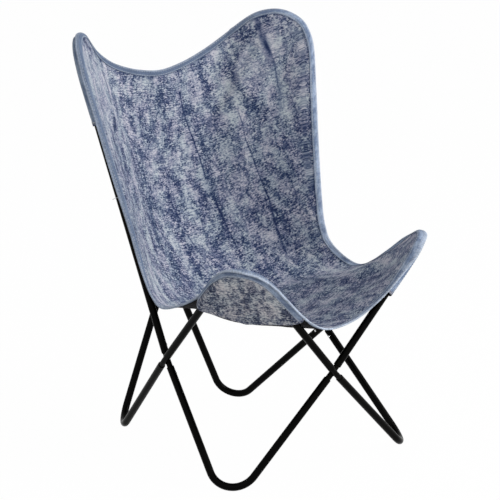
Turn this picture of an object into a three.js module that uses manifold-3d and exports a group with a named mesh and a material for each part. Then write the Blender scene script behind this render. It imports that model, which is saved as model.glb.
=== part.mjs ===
// Butterfly sling chair: a knock-down frame of bent steel tube, with a canvas sling hung on its corners.
// Millimetres, +Z up. The chair faces -Y, and left and right are as seen from in front of it. The model is
// built round the middle of the side crossings, and moved at the end so that its origin is on the floor
// under its middle.

import * as THREE from "three";
import { mergeVertices } from "three/addons/utils/BufferGeometryUtils.js";
import Module from "manifold-3d";

const wasm = await Module();
wasm.setup();

// Main sizes, over the sling's edges
const CHAIR_WIDTH = 638;
const CHAIR_DEPTH = 640;

// Tube and the spigots that join it
const TUBE_DIAMETER = 16;
const TUBE_WALL = 1.2;
const TUBE_STOP = 17; // from a crossing to the tube's end
const SPIGOT_FIT = 0.6; // all round, between spigot and bore
const SPIGOT_WALL = 1.2;
const SPIGOT_REACH = 60; // from a crossing to the spigot's end
const SPIGOT_BORE_START = 22; // from a crossing to the bottom of the spigot's bore
const BAR_WELD = 2.6; // how deep two crossing bars run into each other
const BAR_BEND_RADIUS = 30;

// Crossings of the frame, set in from the chair's sides, front and back
const SIDE_CROSSING_IN = 95;
const SIDE_CROSSING_Z = 221;
const FRONT_CROSSING_IN = 34;
const FRONT_CROSSING_Z = 219;
const BACK_CROSSING_IN = 37;
const BACK_CROSSING_Z = 328;

// Centres and radii of the bends: four top corners and four feet, set in from the sides, front and back
const FRONT_TOP_SIDE_IN = 97;
const FRONT_TOP_FRONT_IN = 60;
const FRONT_TOP_Z = 430;
const FRONT_TOP_RADIUS = 51;
const BACK_TOP_SIDE_IN = 62;
const BACK_TOP_BACK_IN = 103;
const BACK_TOP_Z = 814;
const BACK_TOP_RADIUS = 71;
const FRONT_FOOT_SIDE_IN = 106;
const FRONT_FOOT_FRONT_IN = 103;
const FRONT_FOOT_RADIUS = 53;
const BACK_FOOT_SIDE_IN = 170;
const BACK_FOOT_BACK_IN = 88;
const BACK_FOOT_RADIUS = 47;
const FOOT_FLAT = 0.5; // depth of the flat that each foot stands on

// Snap buttons and their leaf springs
const BUTTON_FROM_CROSSING = 33;
const BUTTON_DIAMETER = 5;
const BUTTON_STAND = 2; // above the tube
const BUTTON_DOME = 1.4;
const BUTTON_HOLE_FIT = 0.3;
const FLANGE_DIAMETER = 6.4;
const FLANGE_THICKNESS = 0.8;
const SPRING_THICKNESS = 0.4;
const SPRING_WIDTH = 4.4;
const SPRING_TAIL = 16; // from the button to the end of the seated leaf
const SPRING_HEAD = 4; // how far the pressed leaf runs past the button
const SPRING_BACK = 7; // from the button to the start of the bend
const SPRING_RAMP = 4; // length of the rise to the button
const RUN_GAP = 0.3; // between pieces that only lie against each other

// Sling
const CANVAS_THICKNESS = 1.6;
const POCKET_THICKNESS = 1.4;
const TAPE_THICKNESS = 0.8;
const TAPE_WIDTH = 12; // of the leg that shows, on the sitter's side
const TAPE_UNDER = 8; // of the leg behind
const TAPE_GAP = 0.75; // between the tape and the panel inside it
const SLING_LIFT = 0.5; // between a tube and the cloth that lies on it
const EDGE_OVERHANG = 7; // from the tube out to the sling's edge
const TOP_EDGE_BACK = 93; // middle of the top edge, behind the back bends' centres
const TOP_EDGE_DIP = 37; // and below them
const TOP_SHOULDER_IN = 138; // from the back bends' centres in to the top edge's shoulders
const TOP_SHOULDER_DIP = 10;
const TOP_CORNER_FLARE = 22; // how much further out the top edge leaves the tube
const TOP_CORNER_TURN = 4; // what is left of that a quarter round the bend
const SIDE_DRAW_IN = 2; // how much closer to the tube the side edge lies below the pockets
const SIDE_FLARE = 10; // how much further out it leaves the tube above the waist
const SIDE_LIFT = 6; // and how far it is lifted there
const FRONT_EDGE_OUT = 38; // middle of the front edge, in front of the front bends' centres
const FRONT_EDGE_DIP = 109; // and below them
const FRONT_FLARE = 10; // how much further out the front edge leaves the tube
const FRONT_RISE = 11; // how far the front corners' side edge stands off the tube
const FRONT_CURL = 4; // how far below the axis the edge curls round the front bends
const FRONT_LIFT = 24; // how far over the axis it is where it has left the tube
const BACK_UPPER_DROP = 167; // points down the middle of the back, below its top edge
const BACK_UPPER_LEAN = 22;
const BACK_LOWER_DROP = 347;
const BACK_LOWER_LEAN = 78;
const SEAT_REAR_Y = 135; // points along the middle of the seat, from the side crossings
const SEAT_REAR_RISE = 94;
const SEAT_LOW_RISE = 54;
const SEAT_FRONT_Y = -150;
const SEAT_FRONT_RISE = 71;
const WAIST_OUT = 48; // lowest point of the side edge, from the side crossing
const WAIST_Y = -50;
const WAIST_RISE = 136;
const POCKET_LENGTH_BACK = 105; // along the straight runs, past the bend
const POCKET_LENGTH_FRONT = 98;
const POCKET_GAP = 0.6; // between a pocket's rim and the tape over it
const POCKET_SEAM = 12; // from a back bend's inner run out to its pocket's seam
const CROSSING_LIFT = 5; // spare height where the cloth passes over an inner run
const RIDGE_WIDTH = 90; // how far to the side of a tube the cloth is still lifted
const EDGE_CURL = 3; // steps in from the edge, over which the cloth curls to the flat
const EDGE_FLAT = 27;
const SWAY = 2; // power of the curve across the sling, from its middle to its edges

// Facets
const TUBE_SIDES = 12;
const BORE_SIDES = 8;
const BUTTON_SIDES = 8;
const BEND_STEPS = 8;
const BAR_STEPS = 3;
const SPINE_START = 0.12; // share of the middle line at which the cloth's rows start to leave it
const STRAIGHT_SPANS = [6, 7, 8, 12, 17]; // spans of the sling's edge that need no station half way
const BACK_POCKET_SPANS = [2, 7]; // spans that a back pocket hangs from
const FRONT_POCKET_SPANS = [12, 18];

// Sizes that follow from those above
const SIDE_CROSSING_X = CHAIR_WIDTH / 2 - SIDE_CROSSING_IN;
const FRONT_CROSSING_Y = FRONT_CROSSING_IN - CHAIR_DEPTH / 2;
const BACK_CROSSING_Y = CHAIR_DEPTH / 2 - BACK_CROSSING_IN;
const FRONT_TOP_X = CHAIR_WIDTH / 2 - FRONT_TOP_SIDE_IN;
const FRONT_TOP_Y = FRONT_TOP_FRONT_IN - CHAIR_DEPTH / 2;
const BACK_TOP_X = CHAIR_WIDTH / 2 - BACK_TOP_SIDE_IN;
const BACK_TOP_Y = CHAIR_DEPTH / 2 - BACK_TOP_BACK_IN;
const FRONT_FOOT_X = CHAIR_WIDTH / 2 - FRONT_FOOT_SIDE_IN;
const FRONT_FOOT_Y = FRONT_FOOT_FRONT_IN - CHAIR_DEPTH / 2;
const BACK_FOOT_X = CHAIR_WIDTH / 2 - BACK_FOOT_SIDE_IN;
const BACK_FOOT_Y = CHAIR_DEPTH / 2 - BACK_FOOT_BACK_IN;
const TUBE_RADIUS = TUBE_DIAMETER / 2;
const TUBE_BORE = TUBE_RADIUS - TUBE_WALL;
const SPIGOT_RADIUS = TUBE_BORE - SPIGOT_FIT;
const SPIGOT_BORE = SPIGOT_RADIUS - SPIGOT_WALL;
const BAR_OFFSET = SPIGOT_RADIUS - BAR_WELD / 2;
const HOLE_RADIUS = BUTTON_DIAMETER / 2 + BUTTON_HOLE_FIT;
const TUBE_FLAT = TUBE_RADIUS * Math.cos(Math.PI / TUBE_SIDES); // from the axis to the flat of a facet
const BORE_FLAT = SPIGOT_BORE * Math.cos(Math.PI / BORE_SIDES);
const EDGE_MARGIN = TUBE_RADIUS + EDGE_OVERHANG;
const CANVAS_RIDE = TUBE_RADIUS + SLING_LIFT + CANVAS_THICKNESS / 2;
const POCKET_RIDE = TUBE_RADIUS + SLING_LIFT + POCKET_THICKNESS / 2;
const TAPE_INNER = CANVAS_THICKNESS / 2 + TAPE_GAP;
const TAPE_OUTER = TAPE_INNER + TAPE_THICKNESS;
const SITTER = new THREE.Vector3(0, 0, 600); // a point in front of every inner face

const steel = (color, roughness) => new THREE.MeshStandardMaterial({ color, roughness, metalness: 0.6 });
const cloth = (color) => new THREE.MeshStandardMaterial({ color, roughness: 0.95, metalness: 0 });
const BLACK_COAT = steel(0x101012, 0.28);
const BARE_STEEL = steel(0x8d9095, 0.35);
const ZINC = steel(0xc4c6c8, 0.3);
const INDIGO_CANVAS = cloth(0x6f7a92);
const POCKET_CANVAS = cloth(0x68738b);
const EDGE_TAPE = cloth(0x9aa3b4);

const chair = new THREE.Group();

function addMesh(name, geometry, material, parent = chair) {
  geometry.computeVertexNormals();
  const mesh = new THREE.Mesh(geometry, material);
  mesh.name = name;
  parent.add(mesh);
  return mesh;
}

// Solids that can be joined and cut

function toSolid(geometry) {
  const bare = geometry.index ? geometry.clone() : mergeVertices(geometry);
  bare.deleteAttribute("normal");
  bare.deleteAttribute("uv");
  const merged = mergeVertices(bare, 1e-4);
  const vertProperties = new Float32Array(merged.attributes.position.array);
  const triVerts = new Uint32Array(merged.index.array);
  return new wasm.Manifold(new wasm.Mesh({ numProp: 3, vertProperties, triVerts }));
}

function toGeometry(solid) {
  const mesh = solid.getMesh();
  const geometry = new THREE.BufferGeometry();
  geometry.setAttribute("position", new THREE.BufferAttribute(mesh.vertProperties, 3));
  geometry.setIndex(new THREE.BufferAttribute(mesh.triVerts, 1));
  return geometry;
}

// A round plug from one point to another
function plug(from, to, radius, sides) {
  const along = to.clone().sub(from);
  const geometry = new THREE.CylinderGeometry(radius, radius, along.length(), sides);
  const up = new THREE.Vector3(0, 1, 0);
  const turn = new THREE.Quaternion().setFromUnitVectors(up, along.clone().normalize());
  const middle = from.clone().add(to).multiplyScalar(0.5);
  geometry.applyMatrix4(new THREE.Matrix4().compose(middle, turn, new THREE.Vector3(1, 1, 1)));
  return toSolid(geometry);
}

// A path through given stations, so that a straight run takes one step and a bend takes several
class StationPath extends THREE.Curve {
  constructor(points, tangents) {
    super();
    this.points = points;
    this.tangents = tangents;
  }

  get steps() {
    return this.points.length - 1;
  }

  getPointAt(u) {
    return this.points[Math.round(u * this.steps)].clone();
  }

  getTangentAt(u) {
    return this.tangents[Math.round(u * this.steps)].clone();
  }
}

function roundSection(radius, bore) {
  const section = new THREE.Shape().absarc(0, 0, radius, 0, 2 * Math.PI);
  if (bore) section.holes.push(new THREE.Path().absarc(0, 0, bore, 0, 2 * Math.PI));
  return section;
}

function sweep(path, section) {
  return new THREE.ExtrudeGeometry(section, {
    extrudePath: path,
    steps: path.steps,
    curveSegments: TUBE_SIDES / 2,
  });
}

// A bent tube: two straight runs, side and middle, that leave a round bend for their crossings
class Hairpin {
  constructor(centre, radius, sideEnd, middleEnd) {
    this.centre = centre;
    this.radius = radius;
    const toSide = sideEnd.clone().sub(centre);
    const toMiddle = middleEnd.clone().sub(centre);
    this.normal = toSide.clone().cross(toMiddle).normalize();
    if (this.normal.dot(SITTER.clone().sub(centre)) < 0) this.normal.negate();
    this.runs = {
      side: this.run(sideEnd, toSide, toMiddle),
      middle: this.run(middleEnd, toMiddle, toSide),
    };
    this.tip = this.runs.side.out.clone().add(this.runs.middle.out).normalize();
    this.spread = this.tip.angleTo(this.runs.side.out);
    this.across = this.runs.side.out.clone().addScaledVector(this.tip, -Math.cos(this.spread)).normalize();
  }

  // One straight run: the way out from the bend's centre to where it starts, and the way along it
  run(end, toEnd, toOther) {
    const aim = toEnd.clone().normalize();
    const lean = this.normal.clone().cross(aim);
    if (lean.dot(toOther) > 0) lean.negate();
    const turn = Math.acos(this.radius / toEnd.length());
    const out = aim.multiplyScalar(Math.cos(turn)).addScaledVector(lean, Math.sin(turn));
    const start = this.centre.clone().addScaledVector(out, this.radius);
    const along = end.clone().sub(start).normalize();
    return { end, out, start, along };
  }

  // The way out from the bend's centre, at a share of the bend from its middle run (-1) to its side run (1)
  outAt(share) {
    const angle = share * this.spread;
    return this.tip.clone().multiplyScalar(Math.cos(angle)).addScaledVector(this.across, Math.sin(angle));
  }

  // A point beside the tube's axis: margin is outwards in the bend's plane, height is towards the sitter
  beside(place, margin, height) {
    const run = this.runs[place.run];
    const out = run ? run.out : this.outAt(place.share);
    const point = this.centre.clone().addScaledVector(out, this.radius + margin);
    if (run) point.addScaledVector(run.along, place.length);
    return point.addScaledVector(this.normal, height);
  }

  // Where a point lies from the tube's axis, the other way round
  locate(point) {
    const from = point.clone().sub(this.centre);
    const height = from.dot(this.normal);
    from.addScaledVector(this.normal, -height);
    const name = from.dot(this.across) >= 0 ? "side" : "middle";
    const run = this.runs[name];
    const length = from.dot(run.along);
    if (length > 0) return { name, run: name, length, height, margin: from.dot(run.out) - this.radius };
    const share = Math.atan2(from.dot(this.across), from.dot(this.tip)) / this.spread;
    return { name, share, length, height, margin: from.length() - this.radius };
  }

  path() {
    const { side, middle } = this.runs;
    const points = [side.end.clone().addScaledVector(side.along, -TUBE_STOP)];
    const tangents = [side.along.clone().negate()];
    for (let i = 0; i <= BEND_STEPS; i++) {
      const out = this.outAt(1 - (2 * i) / BEND_STEPS);
      points.push(this.centre.clone().addScaledVector(out, this.radius));
      tangents.push(out.clone().cross(this.tip.clone().cross(this.across)).normalize());
    }
    points.push(middle.end.clone().addScaledVector(middle.along, -TUBE_STOP));
    tangents.push(middle.along.clone());
    return new StationPath(points, tangents);
  }
}

// Frame: crossings, each with an outer and an inner bar

const CROSSINGS = {
  left: { at: new THREE.Vector3(-SIDE_CROSSING_X, 0, SIDE_CROSSING_Z), out: new THREE.Vector3(-1, 0, 0) },
  right: { at: new THREE.Vector3(SIDE_CROSSING_X, 0, SIDE_CROSSING_Z), out: new THREE.Vector3(1, 0, 0) },
  front: { at: new THREE.Vector3(0, FRONT_CROSSING_Y, FRONT_CROSSING_Z), out: new THREE.Vector3(0, -1, 0) },
  back: { at: new THREE.Vector3(0, BACK_CROSSING_Y, BACK_CROSSING_Z), out: new THREE.Vector3(0, 1, 0) },
};

const barMiddle = (crossing, layer) =>
  CROSSINGS[crossing].at
    .clone()
    .addScaledVector(CROSSINGS[crossing].out, layer === "outer" ? BAR_OFFSET : -BAR_OFFSET);

// Each bent tube, with the bar that each of its two runs goes to
const BENT_TUBES = {
  front_corner_tube_left: { side: ["left", "outer"], middle: ["front", "outer"] },
  front_corner_tube_right: { side: ["right", "outer"], middle: ["front", "inner"] },
  back_corner_tube_left: { side: ["left", "inner"], middle: ["back", "inner"] },
  back_corner_tube_right: { side: ["right", "inner"], middle: ["back", "outer"] },
  foot_tube_front_left: { side: ["left", "inner"], middle: ["front", "inner"] },
  foot_tube_front_right: { side: ["right", "inner"], middle: ["front", "outer"] },
  foot_tube_back_left: { side: ["left", "outer"], middle: ["back", "outer"] },
  foot_tube_back_right: { side: ["right", "outer"], middle: ["back", "inner"] },
};

// The bend of a foot is as high as lets the tube's lowest point reach the floor, less the flat it stands on
function footHairpin(x, y, radius, sideEnd, middleEnd) {
  const centre = new THREE.Vector3(x, y, radius);
  let bend = new Hairpin(centre, radius, sideEnd, middleEnd);
  for (let i = 0; i < 12; i++) {
    const drop = radius * Math.sqrt(1 - bend.normal.z ** 2);
    centre.z = drop + TUBE_FLAT - FOOT_FLAT;
    bend = new Hairpin(centre, radius, sideEnd, middleEnd);
  }
  return bend;
}

function makeHairpin(name, { side, middle }) {
  const sign = name.endsWith("left") ? -1 : 1;
  const ends = [barMiddle(...side), barMiddle(...middle)];
  if (name.startsWith("foot_tube_front"))
    return footHairpin(sign * FRONT_FOOT_X, FRONT_FOOT_Y, FRONT_FOOT_RADIUS, ...ends);
  if (name.startsWith("foot_tube_back"))
    return footHairpin(sign * BACK_FOOT_X, BACK_FOOT_Y, BACK_FOOT_RADIUS, ...ends);
  const front = new THREE.Vector3(sign * FRONT_TOP_X, FRONT_TOP_Y, FRONT_TOP_Z);
  if (name.startsWith("front")) return new Hairpin(front, FRONT_TOP_RADIUS, ...ends);
  const back = new THREE.Vector3(sign * BACK_TOP_X, BACK_TOP_Y, BACK_TOP_Z);
  return new Hairpin(back, BACK_TOP_RADIUS, ...ends);
}

const hairpins = {};
for (const [name, ends] of Object.entries(BENT_TUBES)) hairpins[name] = makeHairpin(name, ends);

// The way in from a tube to the inside of the chair, where its snap button shows
function buttonWay(crossing, along) {
  const way = CROSSINGS[crossing].out.clone().negate();
  return way.addScaledVector(along, -way.dot(along)).normalize();
}

// Each end of each bent tube is one arm of a crossing
const arms = [];
for (const [tube, ends] of Object.entries(BENT_TUBES)) {
  for (const run of ["side", "middle"]) {
    const [crossing, layer] = ends[run];
    const along = hairpins[tube].runs[run].along.clone().negate();
    arms.push({
      tube,
      crossing,
      layer,
      along,
      middle: barMiddle(crossing, layer),
      way: buttonWay(crossing, along),
      label: tube.replace("_tube", "") + (run === "side" ? "_side" : "_mid"),
    });
  }
}

const armPoint = (arm, length) => arm.middle.clone().addScaledVector(arm.along, length);

// A snap button's own axes: X along the arm, Y out through the hole
function snapMatrix(arm) {
  const across = arm.along.clone().cross(arm.way);
  return new THREE.Matrix4()
    .makeBasis(arm.along, arm.way, across)
    .setPosition(armPoint(arm, BUTTON_FROM_CROSSING));
}

function buttonHole(arm) {
  const geometry = new THREE.CylinderGeometry(HOLE_RADIUS, HOLE_RADIUS, TUBE_DIAMETER, BUTTON_SIDES);
  return toSolid(geometry.translate(0, TUBE_DIAMETER / 2, 0).applyMatrix4(snapMatrix(arm)));
}

function floorBlock() {
  const size = 4 * (BACK_TOP_Z + BACK_TOP_RADIUS);
  return toSolid(new THREE.BoxGeometry(size, size, size).translate(0, 0, -size / 2));
}

for (const [name, bend] of Object.entries(hairpins)) {
  let tube = toSolid(sweep(bend.path(), roundSection(TUBE_RADIUS, TUBE_BORE)));
  for (const arm of arms.filter((each) => each.tube === name)) tube = tube.subtract(buttonHole(arm));
  if (name.startsWith("foot")) tube = tube.subtract(floorBlock());
  addMesh(name, toGeometry(tube), BLACK_COAT);
}

// A spigot bar joins the two arms of one layer, bent a little at the crossing
function spigotBar([first, second]) {
  const turn = Math.PI - first.along.angleTo(second.along);
  const back = BAR_BEND_RADIUS * Math.tan(turn / 2);
  const inward = first.along.clone().add(second.along).normalize();
  const centre = first.middle.clone().addScaledVector(inward, BAR_BEND_RADIUS / Math.cos(turn / 2));
  const points = [armPoint(first, SPIGOT_REACH)];
  const tangents = [first.along.clone().negate()];
  for (let i = 0; i <= BAR_STEPS; i++) {
    const share = i / BAR_STEPS;
    const chord = armPoint(first, back).lerp(armPoint(second, back), share);
    const out = chord.sub(centre).normalize();
    points.push(centre.clone().addScaledVector(out, BAR_BEND_RADIUS));
    tangents.push(first.along.clone().negate().lerp(second.along, share).normalize());
  }
  points.push(armPoint(second, SPIGOT_REACH));
  tangents.push(second.along.clone());
  return toSolid(sweep(new StationPath(points, tangents), roundSection(SPIGOT_RADIUS)));
}

for (const crossing of Object.keys(CROSSINGS)) {
  const own = arms.filter((arm) => arm.crossing === crossing);
  const layers = ["outer", "inner"].map((layer) => spigotBar(own.filter((arm) => arm.layer === layer)));
  let joint = layers[0].add(layers[1]);
  for (const arm of own) {
    const bottom = armPoint(arm, SPIGOT_BORE_START);
    const mouth = armPoint(arm, SPIGOT_REACH + TUBE_DIAMETER);
    joint = joint.subtract(plug(bottom, mouth, SPIGOT_BORE, BORE_SIDES)).subtract(buttonHole(arm));
  }
  addMesh("cross_joint_" + crossing, toGeometry(joint), BARE_STEEL);
}

// Snap buttons, and the leaf springs that push them out

const flangeTop = Math.sqrt(BORE_FLAT ** 2 - (FLANGE_DIAMETER / 2) ** 2) - RUN_GAP;
const flangeUnder = flangeTop - FLANGE_THICKNESS;
const springSeat = -Math.sqrt((BORE_FLAT - RUN_GAP) ** 2 - (SPRING_WIDTH / 2) ** 2) + SPRING_THICKNESS / 2;
const springUnder = flangeUnder - RUN_GAP - SPRING_THICKNESS / 2;

function buttonGeometry() {
  const radius = BUTTON_DIAMETER / 2;
  const top = TUBE_RADIUS + BUTTON_STAND;
  const profile = [
    new THREE.Vector2(0, flangeUnder),
    new THREE.Vector2(FLANGE_DIAMETER / 2, flangeUnder),
    new THREE.Vector2(FLANGE_DIAMETER / 2, flangeTop),
    new THREE.Vector2(radius, flangeTop),
    new THREE.Vector2(radius, top - BUTTON_DOME),
    new THREE.Vector2(radius * Math.cos(Math.PI / 4), top - BUTTON_DOME * (1 - Math.sin(Math.PI / 4))),
    new THREE.Vector2(0, top),
  ];
  return new THREE.LatheGeometry(profile, BUTTON_SIDES);
}

// The outline of a bent strip of even thickness, from its middle line
function stripOutline(line, thickness) {
  const edge = (side) =>
    line.map((point, i) => {
      const before = line[Math.max(i - 1, 0)];
      const after = line[Math.min(i + 1, line.length - 1)];
      const way = after.clone().sub(before).normalize();
      return new THREE.Vector2(point.x - way.y * side, point.y + way.x * side);
    });
  return new THREE.Shape([...edge(-thickness / 2), ...edge(thickness / 2).reverse()]);
}

function springGeometry() {
  const low = new THREE.Vector2(SPRING_TAIL, springSeat);
  const rise = (springUnder - springSeat) / 4;
  const line = [low, new THREE.Vector2(-SPRING_BACK, springSeat)];
  for (let i = 1; i <= 4; i++) {
    const angle = (Math.PI * i) / 4;
    line.push(
      new THREE.Vector2(-SPRING_BACK - rise * Math.sin(angle), springSeat + rise * (1 - Math.cos(angle))),
    );
  }
  line.push(new THREE.Vector2(-SPRING_BACK + SPRING_RAMP, springUnder));
  line.push(new THREE.Vector2(SPRING_HEAD, springUnder));
  const outline = stripOutline(line, SPRING_THICKNESS);
  const strip = new THREE.ExtrudeGeometry(outline, { depth: SPRING_WIDTH, bevelEnabled: false });
  return strip.translate(0, 0, -SPRING_WIDTH / 2);
}

for (const arm of arms) {
  const snap = new THREE.Group();
  snap.applyMatrix4(snapMatrix(arm));
  addMesh("snap_button_" + arm.label, buttonGeometry(), ZINC, snap);
  addMesh("snap_spring_" + arm.label, springGeometry(), BARE_STEEL, snap);
  chair.add(snap);
}

// Sling: its edge runs round outside the four top bends

const topMiddle = new THREE.Vector3(0, BACK_TOP_Y + TOP_EDGE_BACK, BACK_TOP_Z - TOP_EDGE_DIP);
const frontMiddle = new THREE.Vector3(0, FRONT_TOP_Y - FRONT_EDGE_OUT, FRONT_TOP_Z - FRONT_EDGE_DIP);

// The edge on one side, from the middle of the top edge to the middle of the front edge
function edgePoints(side) {
  const sign = side === "left" ? -1 : 1;
  const back = hairpins["back_corner_tube_" + side];
  const front = hairpins["front_corner_tube_" + side];
  const backRun = (length, margin, height) => back.beside({ run: "side", length }, margin, height);
  const frontRun = (run, length, flare, height) =>
    front.beside({ run, length: length * POCKET_LENGTH_FRONT }, EDGE_MARGIN + flare * FRONT_FLARE, height);
  return [
    topMiddle,
    new THREE.Vector3(sign * (BACK_TOP_X - TOP_SHOULDER_IN), topMiddle.y, BACK_TOP_Z - TOP_SHOULDER_DIP),
    back.beside({ share: -1 }, EDGE_MARGIN + TOP_CORNER_FLARE, CANVAS_RIDE),
    back.beside({ share: -0.5 }, EDGE_MARGIN + TOP_CORNER_TURN, 0.7 * CANVAS_RIDE),
    back.beside({ share: 0 }, EDGE_MARGIN, 0),
    back.beside({ share: 0.5 }, EDGE_MARGIN, 0),
    backRun(0, EDGE_MARGIN, 0),
    backRun(POCKET_LENGTH_BACK, EDGE_MARGIN, 0),
    backRun(2.1 * POCKET_LENGTH_BACK, EDGE_MARGIN - SIDE_DRAW_IN, 0),
    backRun(3.3 * POCKET_LENGTH_BACK, EDGE_MARGIN - SIDE_DRAW_IN, SIDE_LIFT / 2),
    backRun(4.2 * POCKET_LENGTH_BACK, EDGE_MARGIN + SIDE_FLARE, SIDE_LIFT),
    new THREE.Vector3(sign * (SIDE_CROSSING_X + WAIST_OUT), WAIST_Y, SIDE_CROSSING_Z + WAIST_RISE),
    frontRun("side", 1, 0, FRONT_RISE),
    frontRun("side", 0.2, 0, FRONT_RISE),
    front.beside({ share: 0.5 }, EDGE_MARGIN, 0.45 * FRONT_RISE),
    front.beside({ share: 0 }, EDGE_MARGIN, -FRONT_CURL),
    front.beside({ share: -0.5 }, EDGE_MARGIN, -FRONT_CURL),
    front.beside({ share: -1 }, EDGE_MARGIN + FRONT_FLARE / 2, -FRONT_CURL),
    frontRun("middle", 1, 1.5, CANVAS_RIDE / 2),
    frontRun("middle", 1.8, 1.6, FRONT_LIFT),
    frontMiddle,
  ];
}

const rightEdge = edgePoints("right");
const leftEdge = edgePoints("left");
const SPANS = rightEdge.length - 1;
const edgeLoop = new THREE.CatmullRomCurve3([...rightEdge, ...leftEdge.slice(1, -1).reverse()], true);
const loopShare = (side, index) => (side === "right" ? index / (2 * SPANS) : 1 - index / (2 * SPANS));

const middleLine = new THREE.CatmullRomCurve3([
  topMiddle,
  new THREE.Vector3(0, topMiddle.y - BACK_UPPER_LEAN, topMiddle.z - BACK_UPPER_DROP),
  new THREE.Vector3(0, topMiddle.y - BACK_LOWER_LEAN, topMiddle.z - BACK_LOWER_DROP),
  new THREE.Vector3(0, SEAT_REAR_Y, SIDE_CROSSING_Z + SEAT_REAR_RISE),
  new THREE.Vector3(0, 0, SIDE_CROSSING_Z + SEAT_LOW_RISE),
  new THREE.Vector3(0, SEAT_FRONT_Y, SIDE_CROSSING_Z + SEAT_FRONT_RISE),
  frontMiddle,
]);

const topBends = (side) => [hairpins["back_corner_tube_" + side], hairpins["front_corner_tube_" + side]];

// The height of the cloth over a tube's axis: clear of the tube, and curling down to its edge outside it
function rideHeight(spot, edge) {
  const ridge = Math.exp(-((spot.margin / RIDGE_WIDTH) ** 2));
  if (spot.run && spot.name !== edge.name) return (CANVAS_RIDE + CROSSING_LIFT) * ridge;
  if (spot.margin <= 0) return CANVAS_RIDE * ridge;
  const share = Math.min(spot.margin / Math.max(edge.margin, 1), 1);
  return edge.height + (CANVAS_RIDE - edge.height) * (1 - share ** 4);
}

// Lays a point of the cloth on the top bends of its side, flat within the bends
function layOnTubes(point, side, edgePoint) {
  for (const bend of topBends(side)) {
    const spot = bend.locate(point);
    if (Math.max(Math.abs(spot.margin), Math.abs(spot.height)) > 2 * bend.radius) continue;
    const edge = bend.locate(edgePoint);
    const ride = rideHeight(spot, edge);
    const held = THREE.MathUtils.clamp(1 - edge.height / CANVAS_RIDE, 0, 1);
    const far = point.distanceTo(bend.centre) / bend.radius;
    const flat = held * (1 - THREE.MathUtils.smoothstep(far, 0.9, 2.2));
    const level = spot.margin < 0 ? CANVAS_RIDE : ride;
    const height = Math.max(THREE.MathUtils.lerp(spot.height, level, flat), ride);
    point.addScaledVector(bend.normal, height - spot.height);
  }
  return point;
}

// Distances square in from the edge, where the cloth curls and the tape's legs end, then shares of the way
// to the middle
const EDGE_STEPS = [0, EDGE_CURL, TAPE_UNDER, TAPE_WIDTH, EDGE_FLAT];
const INNER_SHARES = [0.76, 0.52, 0.27, 0];

// A row of the cloth, from its edge to the middle line
function slingRow({ side, index }) {
  const way = THREE.MathUtils.smoothstep(index / SPANS, 0, 1);
  const middle = middleLine.getPointAt(THREE.MathUtils.lerp(SPINE_START, 1 - SPINE_START, way));
  const edge = edgeLoop.getPoint(loopShare(side, index));
  const slope = edge.clone().sub(middle).multiply(new THREE.Vector3(1, SWAY, SWAY));
  const square = slope.cross(edgeLoop.getTangent(loopShare(side, index))).length();
  const shares = [...EDGE_STEPS.map((step) => 1 - step / square), ...INNER_SHARES];
  return shares.map((share) => {
    const bow = share ** SWAY;
    const point = new THREE.Vector3(
      edge.x * share,
      THREE.MathUtils.lerp(middle.y, edge.y, bow),
      THREE.MathUtils.lerp(middle.z, edge.z, bow),
    );
    return share ? layOnTubes(point, side, edge) : point;
  });
}

// Stations round the edge: two to each of its spans, but one where it is straight
const stationIndices = [];
for (let span = 0; span < SPANS; span++) {
  stationIndices.push(span);
  if (!STRAIGHT_SPANS.includes(span)) stationIndices.push(span + 0.5);
}
stationIndices.push(SPANS);
const stations = [
  ...stationIndices.map((index) => ({ side: "right", index })),
  ...stationIndices.slice(1, -1).reverse().map((index) => ({ side: "left", index })),
];
const rows = stations.map(slingRow);

// Surfaces of cloth, as grids of points

// Two triangles of a quad, split from its first corner to its third or the other way
const split = ([a, b, c, d], first) => (first ? [[a, b, c], [a, c, d]] : [[a, b, d], [b, c, d]]);

// Whether the shorter way across a cell of a grid is from its own corner
function leans(grid, i, j) {
  const next = grid[(i + 1) % grid.length];
  return grid[i][j].distanceTo(next[j + 1]) < next[j].distanceTo(grid[i][j + 1]);
}

function gridFaces(grid, closed, indexOf) {
  const faces = [];
  for (let i = 0; i < (closed ? grid.length : grid.length - 1); i++) {
    const next = (i + 1) % grid.length;
    for (let j = 0; j < grid[0].length - 1; j++) {
      const corners = [indexOf(i, j), indexOf(i, j + 1), indexOf(next, j + 1), indexOf(next, j)];
      faces.push(...split(corners, leans(grid, i, j)));
    }
  }
  return faces;
}

function openSurface(points, faces) {
  const geometry = new THREE.BufferGeometry().setFromPoints(points);
  geometry.setIndex(faces.flat());
  geometry.computeVertexNormals();
  return geometry;
}

const normalAt = (surface, i) => new THREE.Vector3().fromBufferAttribute(surface.attributes.normal, i);

// A closed sheet of even thickness about an open surface
function sheet(surface, thickness) {
  const position = surface.attributes.position;
  const count = position.count;
  const points = [];
  for (const half of [thickness / 2, -thickness / 2]) {
    for (let i = 0; i < count; i++) {
      const point = new THREE.Vector3().fromBufferAttribute(position, i);
      points.push(point.addScaledVector(normalAt(surface, i), half));
    }
  }
  const faces = [];
  const borders = new Map();
  const index = surface.index.array;
  for (let i = 0; i < index.length; i += 3) {
    const [a, b, c] = index.slice(i, i + 3);
    if (a === b || b === c || c === a) continue;
    faces.push([a, b, c], [a + count, c + count, b + count]);
    for (const [from, to] of [[a, b], [b, c], [c, a]]) {
      const twin = to + "," + from;
      if (borders.has(twin)) borders.delete(twin);
      else borders.set(from + "," + to, [from, to]);
    }
  }
  for (const [from, to] of borders.values()) {
    faces.push([to, from, from + count], [to, from + count, to + count]);
  }
  const geometry = new THREE.BufferGeometry().setFromPoints(points);
  geometry.setIndex(faces.flat());
  return geometry;
}

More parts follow.
